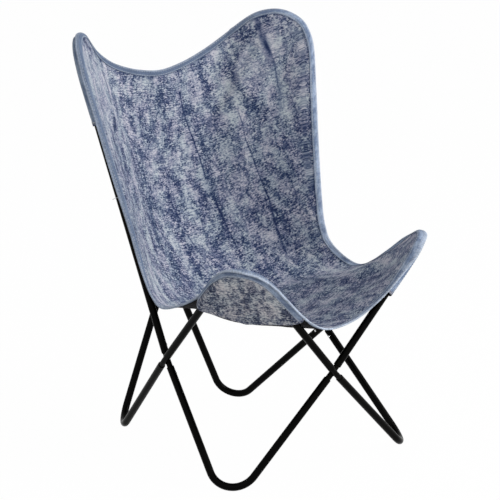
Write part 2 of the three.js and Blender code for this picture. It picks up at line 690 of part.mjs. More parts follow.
// The panel's points, with those of the middle line last, where the rows of both sides meet
const DEPTH = rows[0].length - 1;
const SPINE_POINTS = stationIndices.length;
const panelIndex = (i, j) =>
  j < DEPTH ? i * DEPTH + j : rows.length * DEPTH + Math.min(i, rows.length - i);
const panelPoints = [
  ...rows.flatMap((row) => row.slice(0, DEPTH)),
  ...rows.slice(0, SPINE_POINTS).map((row) => row[DEPTH]),
];
const panelSurface = openSurface(panelPoints, gridFaces(rows, true, panelIndex));
addMesh("sling_panel", sheet(panelSurface, CANVAS_THICKNESS), INDIGO_CANVAS);

// Edge tape: a folded strip round the whole edge of the panel

// How many points in from the edge each corner of the tape's section lies, and how far off the panel: its
// outer face from the leg that shows round to the leg behind, and its inner face back again
const TAPE_LEGS = [
  { steps: [3, 2, 1, 0], offset: TAPE_OUTER },
  { steps: [0, 1, 2], offset: -TAPE_OUTER },
  { steps: [2, 1, 0], offset: -TAPE_INNER },
  { steps: [0, 1, 2, 3], offset: TAPE_INNER },
];
const TAPE_CORNERS = TAPE_LEGS.flatMap(({ steps, offset }) => steps.map((step) => ({ step, offset })));

function tapeSection(row, i) {
  const out = row[0].clone().sub(row[1]).normalize();
  return TAPE_CORNERS.map(({ step, offset }) => {
    const point = row[step].clone().addScaledVector(normalAt(panelSurface, panelIndex(i, step)), offset);
    return step ? point : point.addScaledVector(out, Math.abs(offset) - CANVAS_THICKNESS / 2);
  });
}

// The tape's facets are split as the panel's are, so that they stay the same distance apart
function tapeGeometry(sections) {
  const size = TAPE_CORNERS.length;
  const faces = [];
  sections.forEach((_, i) => {
    const next = (i + 1) % sections.length;
    for (let k = 0; k < size; k++) {
      const after = (k + 1) % size;
      const corners = [i * size + k, next * size + k, next * size + after, i * size + after];
      const [here, there] = [TAPE_CORNERS[k].step, TAPE_CORNERS[after].step];
      faces.push(...split(corners, there > here === leans(rows, i, Math.min(here, there))));
    }
  });
  const geometry = new THREE.BufferGeometry().setFromPoints(sections.flat());
  geometry.setIndex(faces.flat());
  return geometry;
}

addMesh("edge_tape", tapeGeometry(rows.map(tapeSection)), EDGE_TAPE);

// Corner pockets: outer sheets that hold the bends against the panel

const POCKET_SHARES = [1, 0.8, 0.55, 0.28, 0];
const POCKET_DROP = TAPE_OUTER + POCKET_GAP + POCKET_THICKNESS / 2;

// Where the pocket's rim lies from the tube's axis: under the taped edge, station by station, and in a back
// corner then along the bend's inner run
function pocketRim(corner, side) {
  const bend = hairpins[corner + "_corner_tube_" + side];
  const [first, last] = corner === "front" ? FRONT_POCKET_SPANS : BACK_POCKET_SPANS;
  const rim = [];
  stations.forEach((station, i) => {
    if (station.side !== side || station.index < first || station.index > last) return;
    const under = normalAt(panelSurface, panelIndex(i, 0)).multiplyScalar(-POCKET_DROP);
    rim.push({ index: station.index, ...bend.locate(rows[i][0].clone().add(under)) });
  });
  rim.sort((one, other) => other.index - one.index);
  if (corner === "back") {
    const margin = TUBE_RADIUS + POCKET_SEAM;
    for (const length of [POCKET_LENGTH_BACK / 2, POCKET_LENGTH_BACK])
      rim.push({ run: "middle", length, margin, height: CANVAS_RIDE / 2 });
  }
  return { bend, rim };
}

function pocketSurface(corner, side) {
  const { bend, rim } = pocketRim(corner, side);
  const columns = rim.map((spot) => {
    const column = POCKET_SHARES.map((share) => {
      const height = spot.height - (POCKET_RIDE + spot.height) * Math.sqrt(1 - share ** 4);
      return bend.beside(spot, spot.margin * share, height);
    });
    const spine = bend.centre.clone().addScaledVector(bend.normal, -POCKET_RIDE);
    if (spot.run) spine.addScaledVector(bend.tip, spot.length * bend.runs[spot.run].along.dot(bend.tip));
    return [...column, column.at(-1).clone().lerp(spine, 0.5), spine];
  });
  const width = columns[0].length;
  const surface = openSurface(columns.flat(), gridFaces(columns, false, (i, j) => i * width + j));
  surface.deleteAttribute("normal");
  const merged = mergeVertices(surface, 1e-3);
  merged.computeVertexNormals();
  return merged;
}

function facingOut(geometry) {
  const position = geometry.attributes.position;
  const index = geometry.index.array;
  const corner = (i) => new THREE.Vector3().fromBufferAttribute(position, index[i]);
  let volume = 0;
  for (let i = 0; i < index.length; i += 3) volume += corner(i).dot(corner(i + 1).cross(corner(i + 2)));
  for (let i = 0; volume < 0 && i < index.length; i += 3) index.subarray(i, i + 3).reverse();
  return geometry;
}

for (const corner of ["front", "back"]) {
  for (const side of ["left", "right"]) {
    const pocket = facingOut(sheet(pocketSurface(corner, side), POCKET_THICKNESS));
    addMesh(`corner_pocket_${corner}_${side}`, pocket, POCKET_CANVAS);
  }
}

// The origin goes to the floor, under the middle of the chair
const box = new THREE.Box3().setFromObject(chair, true);
const middle = box.getCenter(new THREE.Vector3());
chair.position.set(-middle.x, -middle.y, -box.min.z);

export default chair;
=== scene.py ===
"""Looks of a butterfly sling chair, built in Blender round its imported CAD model.

Eight bent tubes and four cross joints make the frame, held together by sixteen snap buttons on leaf springs.
A canvas panel with a taped edge and four corner pockets makes the sling. Lengths are metres. The shapes are
worked out in the CAD model's drawing frame, +Z up, the chair facing -Y and left at -X, and every mesh is then
moved by ORIGIN_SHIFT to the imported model's frame.
"""

import logging
import math
from dataclasses import dataclass, field
from enum import Enum
from typing import Any, Sequence, Union

import bmesh
import bpy
import numpy as np
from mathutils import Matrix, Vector


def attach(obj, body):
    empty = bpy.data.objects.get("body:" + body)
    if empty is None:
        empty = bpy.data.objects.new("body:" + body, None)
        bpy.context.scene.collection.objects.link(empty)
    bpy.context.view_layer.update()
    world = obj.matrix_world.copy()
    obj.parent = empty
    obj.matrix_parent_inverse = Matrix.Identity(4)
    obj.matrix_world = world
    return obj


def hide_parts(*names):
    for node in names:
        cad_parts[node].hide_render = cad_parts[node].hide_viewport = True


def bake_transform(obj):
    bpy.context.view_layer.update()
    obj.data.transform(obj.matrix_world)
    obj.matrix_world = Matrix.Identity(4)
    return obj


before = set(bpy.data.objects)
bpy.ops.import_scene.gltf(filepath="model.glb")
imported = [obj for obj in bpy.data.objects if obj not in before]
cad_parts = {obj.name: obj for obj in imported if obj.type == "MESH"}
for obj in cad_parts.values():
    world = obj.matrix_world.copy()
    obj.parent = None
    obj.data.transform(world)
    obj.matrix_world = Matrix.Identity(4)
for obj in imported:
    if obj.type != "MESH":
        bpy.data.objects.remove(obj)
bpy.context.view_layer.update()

LOG = logging.getLogger("sling_chair")

Array = np.ndarray
Piece = bpy.types.Object
Material = bpy.types.Material
MM = 0.001
ORIGIN_SHIFT = np.array([0.581, 6.009, 0.0]) * MM
SITTER = np.array([0.0, 0.0, 600.0]) * MM  # a point in front of every inner face
CHAIR = "chair"  # the body that everything but the buttons rides on


class Side(Enum):
    """A side of the chair, by the sign of its X."""

    LEFT = -1
    RIGHT = 1


class Run(Enum):
    """A straight run of a bent tube: to the side crossing, or to the front or back one."""

    SIDE = "side"
    MIDDLE = "mid"


class Layer(Enum):
    """Which of a crossing's two bars a tube slides on, by its way out from the chair."""

    OUTER = 1
    INNER = -1


class Corner(Enum):
    """A pair of the frame's top corners."""

    FRONT = "front"
    BACK = "back"


# Vectors and curves


def point(x: float, y: float, z: float) -> Array:
    """A point given in millimetres."""
    return np.array([x, y, z], float) * MM


def inner(a: Array, b: Array) -> Array:
    """Dot products over the last axis."""
    return np.einsum("...i,...i->...", a, b)


def unit(v: Array) -> Array:
    """Vectors scaled to length one."""
    return v / np.maximum(np.linalg.norm(v, axis=-1, keepdims=True), 1e-12)


def blend(a: Any, b: Any, share: Any) -> Any:
    """The value a share of the way from a to b."""
    return a + (b - a) * share


def ease(x: Any, low: float, high: float) -> Array:
    """A smooth step: 0 below low, 1 above high, 3t^2 - 2t^3 between."""
    t = np.clip((np.asarray(x, float) - low) / (high - low), 0, 1)
    return t * t * (3 - 2 * t)


def bell(x: Any, middle: float, width: float) -> Array:
    """A hump exp(-((x - middle) / width)^2)."""
    return np.exp(-(((np.asarray(x, float) - middle) / width) ** 2))


def circle(count: int) -> Array:
    """Evenly spaced angles round a full turn."""
    return np.linspace(0, 2 * np.pi, count, endpoint=False)


def lengths(line: Array) -> Array:
    """The length along a line of points to each of them."""
    return np.concatenate([[0], np.cumsum(np.linalg.norm(np.diff(line, axis=0), axis=-1))])


@dataclass(frozen=True)
class Spline:
    """Centripetal Catmull-Rom curves through knots, many side by side.

    Each span is the cubic whose end slopes come from the neighbouring chords, weighed by the square roots of
    their lengths. Knots run along the first axis, and any axes between it and the last one hold separate curves.
    """

    knots: Array
    closed: bool = False
    fineness: int = 40  # steps in a span, to measure its length

    def at(self, t: Array) -> Array:
        """Points on the curves.

        Args:
            t: places along the curves, counted in knots.

        Returns:
            One set of points for each place.
        """
        t = np.asarray(t, float)
        count = len(self.knots)
        if self.closed:
            cell = np.floor(t).astype(int)
            p0, p1, p2, p3 = (self.knots[(cell + k) % count] for k in (-1, 0, 1, 2))
        else:
            head = 2 * self.knots[:1] - self.knots[1:2]
            tail = 2 * self.knots[-1:] - self.knots[-2:-1]
            padded = np.concatenate([head, self.knots, tail])
            cell = np.clip(np.floor(t).astype(int), 0, count - 2)
            p0, p1, p2, p3 = (padded[cell + k] for k in range(4))
        w = (t - cell).reshape((-1,) + (1,) * (self.knots.ndim - 1))
        d0, d1, d2 = (self._step(a, b) for a, b in ((p0, p1), (p1, p2), (p2, p3)))
        m1 = ((p1 - p0) / d0 - (p2 - p0) / (d0 + d1) + (p2 - p1) / d1) * d1
        m2 = ((p2 - p1) / d1 - (p3 - p1) / (d1 + d2) + (p3 - p2) / d2) * d1
        return p1 + w * (m1 + w * (3 * (p2 - p1) - 2 * m1 - m2 + w * (2 * (p1 - p2) + m1 + m2)))

    @staticmethod
    def _step(a: Array, b: Array) -> Array:
        """Square root of the distance between neighbouring knots."""
        return np.sqrt(np.maximum(np.linalg.norm(b - a, axis=-1, keepdims=True), 1e-9))

    def by_length(self, count: int, shares: Array | None = None) -> Array:
        """Places that are evenly spaced along a single curve.

        Args:
            count: how many places, with no repeat of the first on a closed curve.
            shares: shares of the curve's length to use instead of even ones.

        Returns:
            The places, counted in knots.
        """
        spans = len(self.knots) - (0 if self.closed else 1)
        dense = np.linspace(0, spans, spans * self.fineness + 1)
        length = lengths(self.at(dense))
        if shares is None:
            shares = np.linspace(0, 1, count, endpoint=not self.closed)
        return np.interp(np.asarray(shares) * length[-1], length, dense)


def through(net: Array, rows: Array, columns: Array, closed: bool = False) -> Array:
    """Points of the surface through a net.

    Args:
        net: points by row and column.
        rows: places in its rows, counted in points.
        columns: places in its columns.
        closed: whether the last row meets the first.

    Returns:
        One point for each place in the rows and each in the columns.
    """
    fine = Spline(np.swapaxes(net, 0, 1)).at(columns)
    return Spline(np.swapaxes(fine, 0, 1), closed).at(rows)


# Meshes


def quads(rows: int, columns: int, wrap_rows: bool = False, wrap_columns: bool = False) -> Array:
    """Faces of a grid of points.

    Args:
        rows: points along the first parameter.
        columns: points along the second.
        wrap_rows: whether the last row meets the first.
        wrap_columns: whether the last column meets the first.

    Returns:
        Four point numbers for each face.
    """
    i = np.arange(rows if wrap_rows else rows - 1)[:, None]
    j = np.arange(columns if wrap_columns else columns - 1)[None, :]
    i2, j2 = (i + 1) % rows, (j + 1) % columns
    corners = (i * columns + j, i2 * columns + j, i2 * columns + j2, i * columns + j2)
    return np.stack(np.broadcast_arrays(*corners), axis=-1).reshape(-1, 4)


def make_piece(name: str, points: Array, faces: Sequence[Sequence[int]], closed: bool = False) -> Piece:
    """A mesh object at the origin, with its place in its mesh.

    Args:
        name: the piece's name.
        points: its points in the drawing frame, over any number of axes.
        faces: point numbers of its faces.
        closed: whether it is a closed mesh, whose faces then have to look outwards.

    Returns:
        The new object, shaded smooth.
    """
    mesh = bpy.data.meshes.new(name)
    mesh.from_pydata((points.reshape(-1, 3) + ORIGIN_SHIFT).tolist(), [], [list(f) for f in faces])
    mesh.update()
    mesh.shade_smooth()
    made = bpy.data.objects.new(name, mesh)
    bpy.context.scene.collection.objects.link(made)
    if closed:
        face_out(made)
    return made


def store(piece: Piece, name: str, *parts: Any) -> None:
    """Keeps a vector for each point of a mesh as a named attribute, from its three parts over the net."""
    values = np.stack(np.broadcast_arrays(*parts), axis=-1)
    attribute = piece.data.attributes.new(name, "FLOAT_VECTOR", "POINT")
    attribute.data.foreach_set("vector", np.ascontiguousarray(values, np.float32).ravel())


def carve(body: Piece, tool: Piece, operation: str = "DIFFERENCE") -> None:
    """Joins or cuts a body with a tool, which is then removed.

    Args:
        body: the object that changes.
        tool: a closed mesh.
        operation: a Boolean modifier's operation.
    """
    modifier = body.modifiers.new("carve", "BOOLEAN")
    modifier.operation, modifier.solver, modifier.object = operation, "EXACT", tool
    made = bpy.data.meshes.new_from_object(body.evaluated_get(bpy.context.evaluated_depsgraph_get()))
    body.modifiers.clear()
    old, body.data = body.data, made
    made.name = body.name
    bpy.data.meshes.remove(old)
    bpy.data.meshes.remove(tool.data)


def keep_edges(piece: Piece, degrees: float = 34) -> None:
    """Shades a piece smooth but for edges sharper than an angle."""
    piece.data.shade_smooth()
    piece.data.set_sharp_from_angle(angle=math.radians(degrees))


def revolve(profile: Array, axes: Array, origin: Array, sides: int) -> tuple[Array, list[list[int]]]:
    """A profile turned about an axis, closed at both poles.

    A point at turn u is origin + r(cos u * axes[0] + sin u * axes[2]) + h * axes[1].

    Args:
        profile: radius and height of each point, the first and last of them on the axis.
        axes: three square unit vectors, the middle one along the axis.
        origin: the point of height nought.
        sides: points round the axis.

    Returns:
        Points and faces.
    """
    turn = circle(sides)
    ring = np.cos(turn)[:, None] * axes[0] + np.sin(turn)[:, None] * axes[2]
    body = origin + profile[1:-1, 0, None, None] * ring + profile[1:-1, 1, None, None] * axes[1]
    poles = origin + profile[[0, -1], 1, None] * axes[1]
    count = len(body) * sides
    start, after = np.arange(sides), (np.arange(sides) + 1) % sides
    low = np.stack([np.full(sides, count), start, after], axis=-1)
    high = np.stack([np.full(sides, count + 1), count - sides + after, count - sides + start], axis=-1)
    faces = quads(len(body), sides, wrap_columns=True).tolist() + low.tolist() + high.tolist()
    return np.concatenate([body.reshape(-1, 3), poles]), faces


def sweep(axis: Array, way: Array, up: Array, radius: Array | float, sides: int) -> Array:
    """Rings carried along an axis.

    A point at turn u of a station is axis + r(cos u * (up x way) + sin u * up).

    Args:
        axis: the stations.
        way: the way along at each of them.
        up: a unit vector square to the axis all along.
        radius: one radius, or one for each station.
        sides: points round a ring.

    Returns:
        One ring of points for each station.
    """
    turn = circle(sides)[:, None]
    ring = np.cos(turn) * np.cross(up, way)[:, None] + np.sin(turn) * up
    return axis[:, None] + np.reshape(radius, (-1, 1, 1)) * ring


def flip_to(piece: Piece, target: Array, away: bool = False) -> None:
    """Turns an open sheet's faces so that they look towards a point, or away from it."""
    mesh = piece.data
    normals = np.zeros(len(mesh.polygons) * 3, np.float32)
    centres = np.zeros(len(mesh.polygons) * 3, np.float32)
    mesh.polygons.foreach_get("normal", normals)
    mesh.polygons.foreach_get("center", centres)
    facing = inner(normals.reshape(-1, 3), target + ORIGIN_SHIFT - centres.reshape(-1, 3)).mean()
    if (facing < 0) != away:
        mesh.flip_normals()


def face_out(piece: Piece) -> None:
    """Turns a closed mesh's faces outwards if they look in."""
    mesh = piece.data
    mesh.calc_loop_triangles()
    corners = np.zeros(len(mesh.loop_triangles) * 3, np.int32)
    mesh.loop_triangles.foreach_get("vertices", corners)
    places = np.zeros(len(mesh.vertices) * 3, np.float32)
    mesh.vertices.foreach_get("co", places)
    a, b, c = places.reshape(-1, 3)[corners.reshape(-1, 3)].astype(float).transpose(1, 0, 2)
    if inner(a, np.cross(b, c)).sum() < 0:
        mesh.flip_normals()


def thicken(piece: Piece, thickness: float) -> None:
    """Gives a sheet its thickness, with its reverse in the second finish."""
    solid = piece.modifiers.new("thickness", "SOLIDIFY")
    solid.thickness, solid.offset = thickness, 0
    solid.material_offset = 1


def merge(piece: Piece, distance: float = 0.02 * MM) -> None:
    """Merges points that lie on each other, and drops the faces that this closes up."""
    work = bmesh.new()
    work.from_mesh(piece.data)
    bmesh.ops.remove_doubles(work, verts=work.verts, dist=distance)
    bmesh.ops.dissolve_degenerate(work, dist=1e-7, edges=work.edges)
    work.to_mesh(piece.data)
    work.free()


def dress(piece: Piece, body: str, node: str | None, slot: str, *materials: Material) -> None:
    """Gives a piece its finishes, puts it on the body that it rides on, and hides the CAD node that it stands
    for.

    Args:
        piece: the piece.
        body: the body that it rides on.
        node: the CAD node that it stands for, if there is one.
        slot: the slot of its finish; not used.
        materials: its finish, and that of its reverse.
    """
    piece.data.materials.clear()
    for material in materials:
        piece.data.materials.append(material)
    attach(piece, body)
    if node:
        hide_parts(node)
    LOG.info("%s on %s: %d faces", piece.name, body, len(piece.data.polygons))


# Shader graphs

Value = Union["Wire", float, Sequence[float]]


class Wire:
    """One output of a shader graph, with arithmetic that adds Math nodes."""

    def __init__(self, graph: "Graph", socket: bpy.types.NodeSocket) -> None:
        """Wraps a socket of a graph."""
        self.graph, self.socket = graph, socket

    def _math(self, operation: str, first: Value, second: Value) -> "Wire":
        """A Math node on two values."""
        return self.graph.node("ShaderNodeMath", {"operation": operation}, {0: first, 1: second})

    def __add__(self, other: Value) -> "Wire":
        """The sum."""
        return self._math("ADD", self, other)

    __radd__ = __add__

    def __mul__(self, other: Value) -> "Wire":
        """The product."""
        return self._math("MULTIPLY", self, other)

    __rmul__ = __mul__

    def __sub__(self, other: Value) -> "Wire":
        """The difference."""
        return self._math("SUBTRACT", self, other)

    def __rsub__(self, other: Value) -> "Wire":
        """The difference, the other way round."""
        return self._math("SUBTRACT", other, self)

    def step(self, low: float, high: float) -> "Wire":
        """A smooth step from 0 at low to 1 at high."""
        return self.graph.node(
            "ShaderNodeMapRange",
            {"interpolation_type": "SMOOTHSTEP"},
            {"Value": self, "From Min": low, "From Max": high},
        )

    def wave(self, period: float) -> "Wire":
        """The sine of a length, from -1 to 1, once each period."""
        turn = self * (2 * math.pi / period)
        return self.graph.node("ShaderNodeMath", {"operation": "SINE"}, {0: turn})

    def near(self, middle: float, width: float) -> "Wire":
        """A mark round one value: 1 on it, 0 a width away."""
        off = self.graph.node("ShaderNodeMath", {"operation": "ABSOLUTE"}, {0: self - middle})
        return 1 - off.step(0, width)


class Graph:
    """The node tree of one material or world."""

    def __init__(self, owner: bpy.types.ID) -> None:
        """Empties the node tree of a material or world."""
        owner.use_nodes = True
        self.owner, self.tree = owner, owner.node_tree
        self.tree.nodes.clear()

    @classmethod
    def of(cls, name: str) -> "Graph":
        """The graph of a new material."""
        return cls(bpy.data.materials.new(name))

    def node(
        self,
        kind: str,
        settings: dict[str, Any] | None = None,
        values: dict[Any, Value] | None = None,
        out: int | str = 0,
    ) -> Wire:
        """Adds a node.

        Args:
            kind: the node's type.
            settings: its settings, set first, with a ramp's places and colours under "stops".
            values: numbers or wires for its sockets, by name or number.
            out: the output to hand back.

        Returns:
            That output.
        """
        made = self.tree.nodes.new(kind)
        for key, value in (settings or {}).items():
            if key == "stops":
                self._set_stops(made.color_ramp, value)
            else:
                setattr(made, key, value)
        for key, value in (values or {}).items():
            if isinstance(value, Wire):
                self.tree.links.new(value.socket, made.inputs[key])
            else:
                made.inputs[key].default_value = value
        return Wire(self, made.outputs[out]) if made.outputs else Wire(self, None)

    @staticmethod
    def _set_stops(ramp: bpy.types.ColorRamp, stops: Sequence[tuple[float, tuple]]) -> None:
        """Gives a ramp its places and colours."""
        while len(ramp.elements) < len(stops):
            ramp.elements.new(1.0)
        for element, (place, tone) in zip(ramp.elements, stops):
            element.position, element.color = place, tone

    def mix(self, share: Value, first: Value, second: Value) -> Wire:
        """The colour a share of the way from the first to the second."""
        return self.node("ShaderNodeMix", {"data_type": "RGBA"}, {0: share, 6: first, 7: second}, 2)

    def scaled(self, tone: Wire, by: Value) -> Wire:
        """A colour or vector times a number."""
        return self.node("ShaderNodeVectorMath", {"operation": "SCALE"}, {0: tone, "Scale": by})

    def noise(
        self, place: Wire, sizes: Sequence[float], seed: float, detail: float = 2, rough: float = 0.5
    ) -> Wire:
        """Noise about 0.5.

        Args:
            place: where it is drawn.
            sizes: the sizes of its spots along the axes of that, or 0 for one that doesn't count.
            seed: where in the noise it starts.
            detail: how many finer noises are added.
            rough: how strong those are.

        Returns:
            The noise.
        """
        scale = [1 / s if s else 0.0 for s in sizes]
        start = (seed, 2.7 * seed, 0.4 * seed)
        spread = self.node("ShaderNodeVectorMath", {"operation": "MULTIPLY"}, {0: place, 1: scale})
        moved = self.node("ShaderNodeVectorMath", {"operation": "ADD"}, {0: spread, 1: start})
        values = {"Vector": moved, "Scale": 1.0, "Detail": detail, "Roughness": rough}
        return self.node("ShaderNodeTexNoise", {}, values)

    def object_place(self) -> Wire:
        """The place in the object's own frame."""
        return self.node("ShaderNodeTexCoord", {}, {}, "Object")

    def stored(self, name: str) -> tuple[Wire, Wire, Wire, Wire]:
        """A stored vector, and its three parts."""
        vector = self.node("ShaderNodeAttribute", {"attribute_name": name}, {}, "Vector")
        split = self.node("ShaderNodeSeparateXYZ", {}, {0: vector}).socket.node
        return (vector, *(Wire(self, output) for output in split.outputs))

    def bump(self, height: Wire, distance: float, strength: float) -> Wire:
        """A normal from a height between 0 and 1 and its depth in metres."""
        return self.node("ShaderNodeBump", {}, {"Height": height, "Distance": distance, "Strength": strength})

    def surface(self, values: dict[str, Value]) -> Material:
        """Ends the graph in a Principled shader with these sockets."""
        shader = self.node("ShaderNodeBsdfPrincipled", {}, values)
        self.node("ShaderNodeOutputMaterial", {}, {"Surface": shader})
        return self.owner


def colour(red: int, green: int, blue: int) -> tuple[float, float, float, float]:
    """A screen colour as linear light."""
    light = [((c / 255 + 0.055) / 1.055) ** 2.4 if c > 10 else c / 255 / 12.92 for c in (red, green, blue)]
    return (*light, 1.0)


# Finishes


@dataclass(frozen=True)
class PowderCoat:
    """Black powder coat on steel: glossy, with a fine orange-peel skin and faint dust."""

    name: str
    dark: tuple = colour(3, 3, 3)
    lit: tuple = colour(8, 7, 6)
    roughness: float = 0.24
    dust: float = 34 * MM
    peel: float = 2.2 * MM
    scuff: float = 9 * MM

    def material(self) -> Material:
        """The coat's material."""
        graph = Graph.of(self.name)
        place = graph.object_place()
        dust = graph.noise(place, [self.dust] * 3, 3.1, 4, 0.6)
        peel = graph.noise(place, [self.peel] * 3, 7.7, 1)
        scuff = graph.noise(place, [self.scuff] * 3, 11.3, 3, 0.7).step(0.6, 0.78)
        base = graph.mix(dust.step(0.35, 0.7), self.dark, self.lit)
        return graph.surface({
            "Base Color": base,
            "Roughness": self.roughness + dust * 0.08 + scuff * 0.1,
            "Specular IOR Level": 0.03,
            "Coat Weight": 0.01,
            "Coat Roughness": 0.08,
            "Normal": graph.bump(peel, 0.05 * MM, 0.35),
        })


@dataclass(frozen=True)
class BareMetal:
    """Plated or sprung steel with fine scratches and a slight bloom."""

    name: str
    tone: tuple
    dull: tuple
    roughness: float
    grain: Sequence[float] = (0.6 * MM, 0.6 * MM, 5 * MM)
    bloom: float = 3 * MM

    def material(self) -> Material:
        """The metal's material."""
        graph = Graph.of(self.name)
        place = graph.object_place()
        scratch = graph.noise(place, self.grain, 2.3, 3, 0.65)
        bloom = graph.noise(place, [self.bloom] * 3, 5.9, 3, 0.6)
        return graph.surface({
            "Base Color": graph.mix(bloom.step(0.4, 0.75), self.tone, self.dull),
            "Metallic": 1.0,
            "Roughness": self.roughness + scratch * 0.14,
            "Normal": graph.bump(scratch, 0.02 * MM, 0.4),
        })


@dataclass(frozen=True)
class CreaseShade:
    """Painted shade along a crease line of the cloth, between two places given across and along it."""

    start: tuple[float, float]
    end: tuple[float, float]
    # strength of the painted shade; below nought it is a painted highlight instead
    dark: float
    width: float = 3 * MM
    fade: float = 30 * MM  # the length over which each end fades out

    def mark(self, across: Wire, along: Wire) -> Wire:
        """How much darker the line's painted shade makes the cloth, by the distances along it and square to it.
        """
        length = math.dist(self.start, self.end)
        c, d = ((e - b) / length for b, e in zip(self.start, self.end))
        right, on = across - self.start[0], along - self.start[1]
        reach = right * c + on * d
        ends = reach.step(0, self.fade) * (1 - reach.step(length - self.fade, length))
        return (right * d - on * c).near(0, self.width) * ends * self.dark


@dataclass(frozen=True)
class Spots:
    """One noise of a cloth: its spots' sizes across and along in millimetres, its seed and its detail."""

    across: float
    along: float
    seed: float
    detail: float
    rough: float = 0.55

    def draw(self, graph: Graph, place: Wire, seed: float) -> Wire:
        """The noise at a place on a cloth with a seed of its own, about nought."""
        sizes = (self.across * MM, self.along * MM, 0)
        return graph.noise(place, sizes, seed + self.seed, self.detail, self.rough) - 0.5


DENIM_SHADES = (
    (0.0, colour(34, 48, 84)), (0.22, colour(68, 82, 114)), (0.44, colour(113, 122, 147)),
    (0.6, colour(142, 149, 166)), (0.8, colour(176, 180, 192)), (1.0, colour(204, 206, 209)),
)
GREY_SHADES = (
    (0.0, colour(36, 44, 66)), (0.22, colour(70, 78, 100)), (0.44, colour(112, 118, 134)),
    (0.6, colour(140, 144, 153)), (0.8, colour(176, 178, 181)), (1.0, colour(205, 204, 202)),
)


@dataclass(frozen=True)
class WashedCanvas:
    """Stone-washed cotton canvas: indigo left in ragged blocks and stripes, rubbed pale between them.

    How far it has faded is a sum of noises over the cloth's own flat measures, across and along: long stripes,
    blocks with ragged borders, clumps, weft streaks and a patchy grain. Painted shade makes it less faded along
    crease lines and along a seam line in from the edge, and one crease line is a painted highlight. The stored
    wear
    makes it more faded: rubbed wear with painted light on the strip outside each back pocket's fold, a painted
    highlight on the fold's crest, and painted shade, less faded, in the valley inside it. A ramp of shades turns
    it into a colour, and a slow noise leans that towards violet or teal. The weave is two crossed waves.
    """

    name: str
    seed: float = 0.0
    shades: tuple = DENIM_SHADES
    violet: tuple = (1.025, 0.985, 1.02)
    teal: tuple = (0.95, 1.01, 1.0)
    contrast: float = 1.0
    # depth in from the edge of a painted seam shadow
    seam: float = 14.5 * MM
    slant: float = 0.1
    thread: float = 1.5 * MM
    # lines of painted shade along the cloth's crease lines
    crease_shades: tuple = ()
    wander: float = 6 * MM  # how far the blocks push a crease aside
    stripe: Spots = Spots(36, 420, 1.3, 1)
    block: Spots = Spots(20, 40, 5.1, 3)
    clump: Spots = Spots(8, 11, 9.7, 2)
    weft: Spots = Spots(24, 2.6, 13.9, 2)
    grain: Spots = Spots(4.2, 2.4, 17.3, 1)
    tint: Spots = Spots(34, 60, 21.1, 2)

    def material(self) -> Material:
        """The cloth's material."""
        graph = Graph.of(self.name)
        cloth, across, along, depth = graph.stored("cloth")
        # the stored wear: rubbed wear, with a painted highlight and painted shade round the back pockets' folds
        rubbed = graph.stored("wear")[1]
        slanted = graph.node("ShaderNodeCombineXYZ", {}, {0: across - along * self.slant, 1: along})
        stripe, block = (kind.draw(graph, slanted, self.seed) for kind in (self.stripe, self.block))
        fine = (self.clump, self.weft, self.grain, self.tint)
        clump, weft, grain, tint = (kind.draw(graph, cloth, self.seed) for kind in fine)
        patch = (block + clump * 0.5 + grain * 0.4).step(-0.1, 0.1) - 0.5
        faded = stripe * 0.9 + block * 0.8 + clump * 0.3 + patch * 0.22 + weft * 1.0
        faded = 0.505 + faded * (1 - rubbed * 0.5) * self.contrast + rubbed * 0.22
        rough = (1.3 - faded.step(0.25, 0.85) * 0.6) * (1 + clump * 3)
        # painted seam shadow: darker along a line 14.5 mm in from the panel's edge and from each pocket's mouth
        faded = faded + grain * rough * 1.7 - depth.near(self.seam, 4 * MM) * 0.14
        broken = 0.8 + block * 3 + grain * 2
        # painted shade along each crease line, a painted highlight where its strength is below nought
        for crease in self.crease_shades:
            faded = faded - crease.mark(across + block * self.wander, along) * broken
        base = graph.node("ShaderNodeValToRGB", {"stops": self.shades}, {"Fac": faded})
        lean = graph.mix((tint + 0.5).step(0.36, 0.64), (*self.violet, 1), (*self.teal, 1))
        weave = across.wave(self.thread) * along.wave(self.thread) * 0.25 + weft * 0.8 + grain * 0.6
        return graph.surface({
            "Base Color": graph.node("ShaderNodeVectorMath", {"operation": "MULTIPLY"}, {0: base, 1: lean}),
            "Roughness": 0.88 + weft * 0.12,
            "Specular IOR Level": 0.2,
            "Sheen Weight": 0.06,
            "Sheen Roughness": 0.5,
            "Normal": graph.bump(weave, 0.55 * MM, 0.5),
        })


@dataclass(frozen=True)
class PaintedShadeReverse:
    """The rough reverse of the canvas, painted near black as shade under the seat and inside the pockets."""

    name: str = "canvas_reverse_painted_shade"
    # near black: painted shade on every reverse face of the panel and the pockets
    dark: tuple = colour(14, 14, 16)
    lint: tuple = colour(33, 33, 38)
    weft: tuple = (30 * MM, 3 * MM, 0)
    speck: tuple = (3 * MM, 3 * MM, 0)
    thread: float = 1.5 * MM

    def material(self) -> Material:
        """The reverse's material."""
        graph = Graph.of(self.name)
        cloth, across, along, _ = graph.stored("cloth")
        weft = graph.noise(cloth, self.weft, 4.7, 3, 0.6)
        speck = graph.noise(cloth, self.speck, 8.3, 2, 0.6)
        weave = across.wave(self.thread) * along.wave(self.thread) * 0.3 + weft * 0.6
        return graph.surface({
            "Base Color": graph.mix((weft * 0.6 + speck * 0.4).step(0.42, 0.7), self.dark, self.lint),
            "Roughness": 0.9 + speck * 0.08,
            "Specular IOR Level": 0.08,
            "Normal": graph.bump(weave, 0.5 * MM, 0.5),
        })


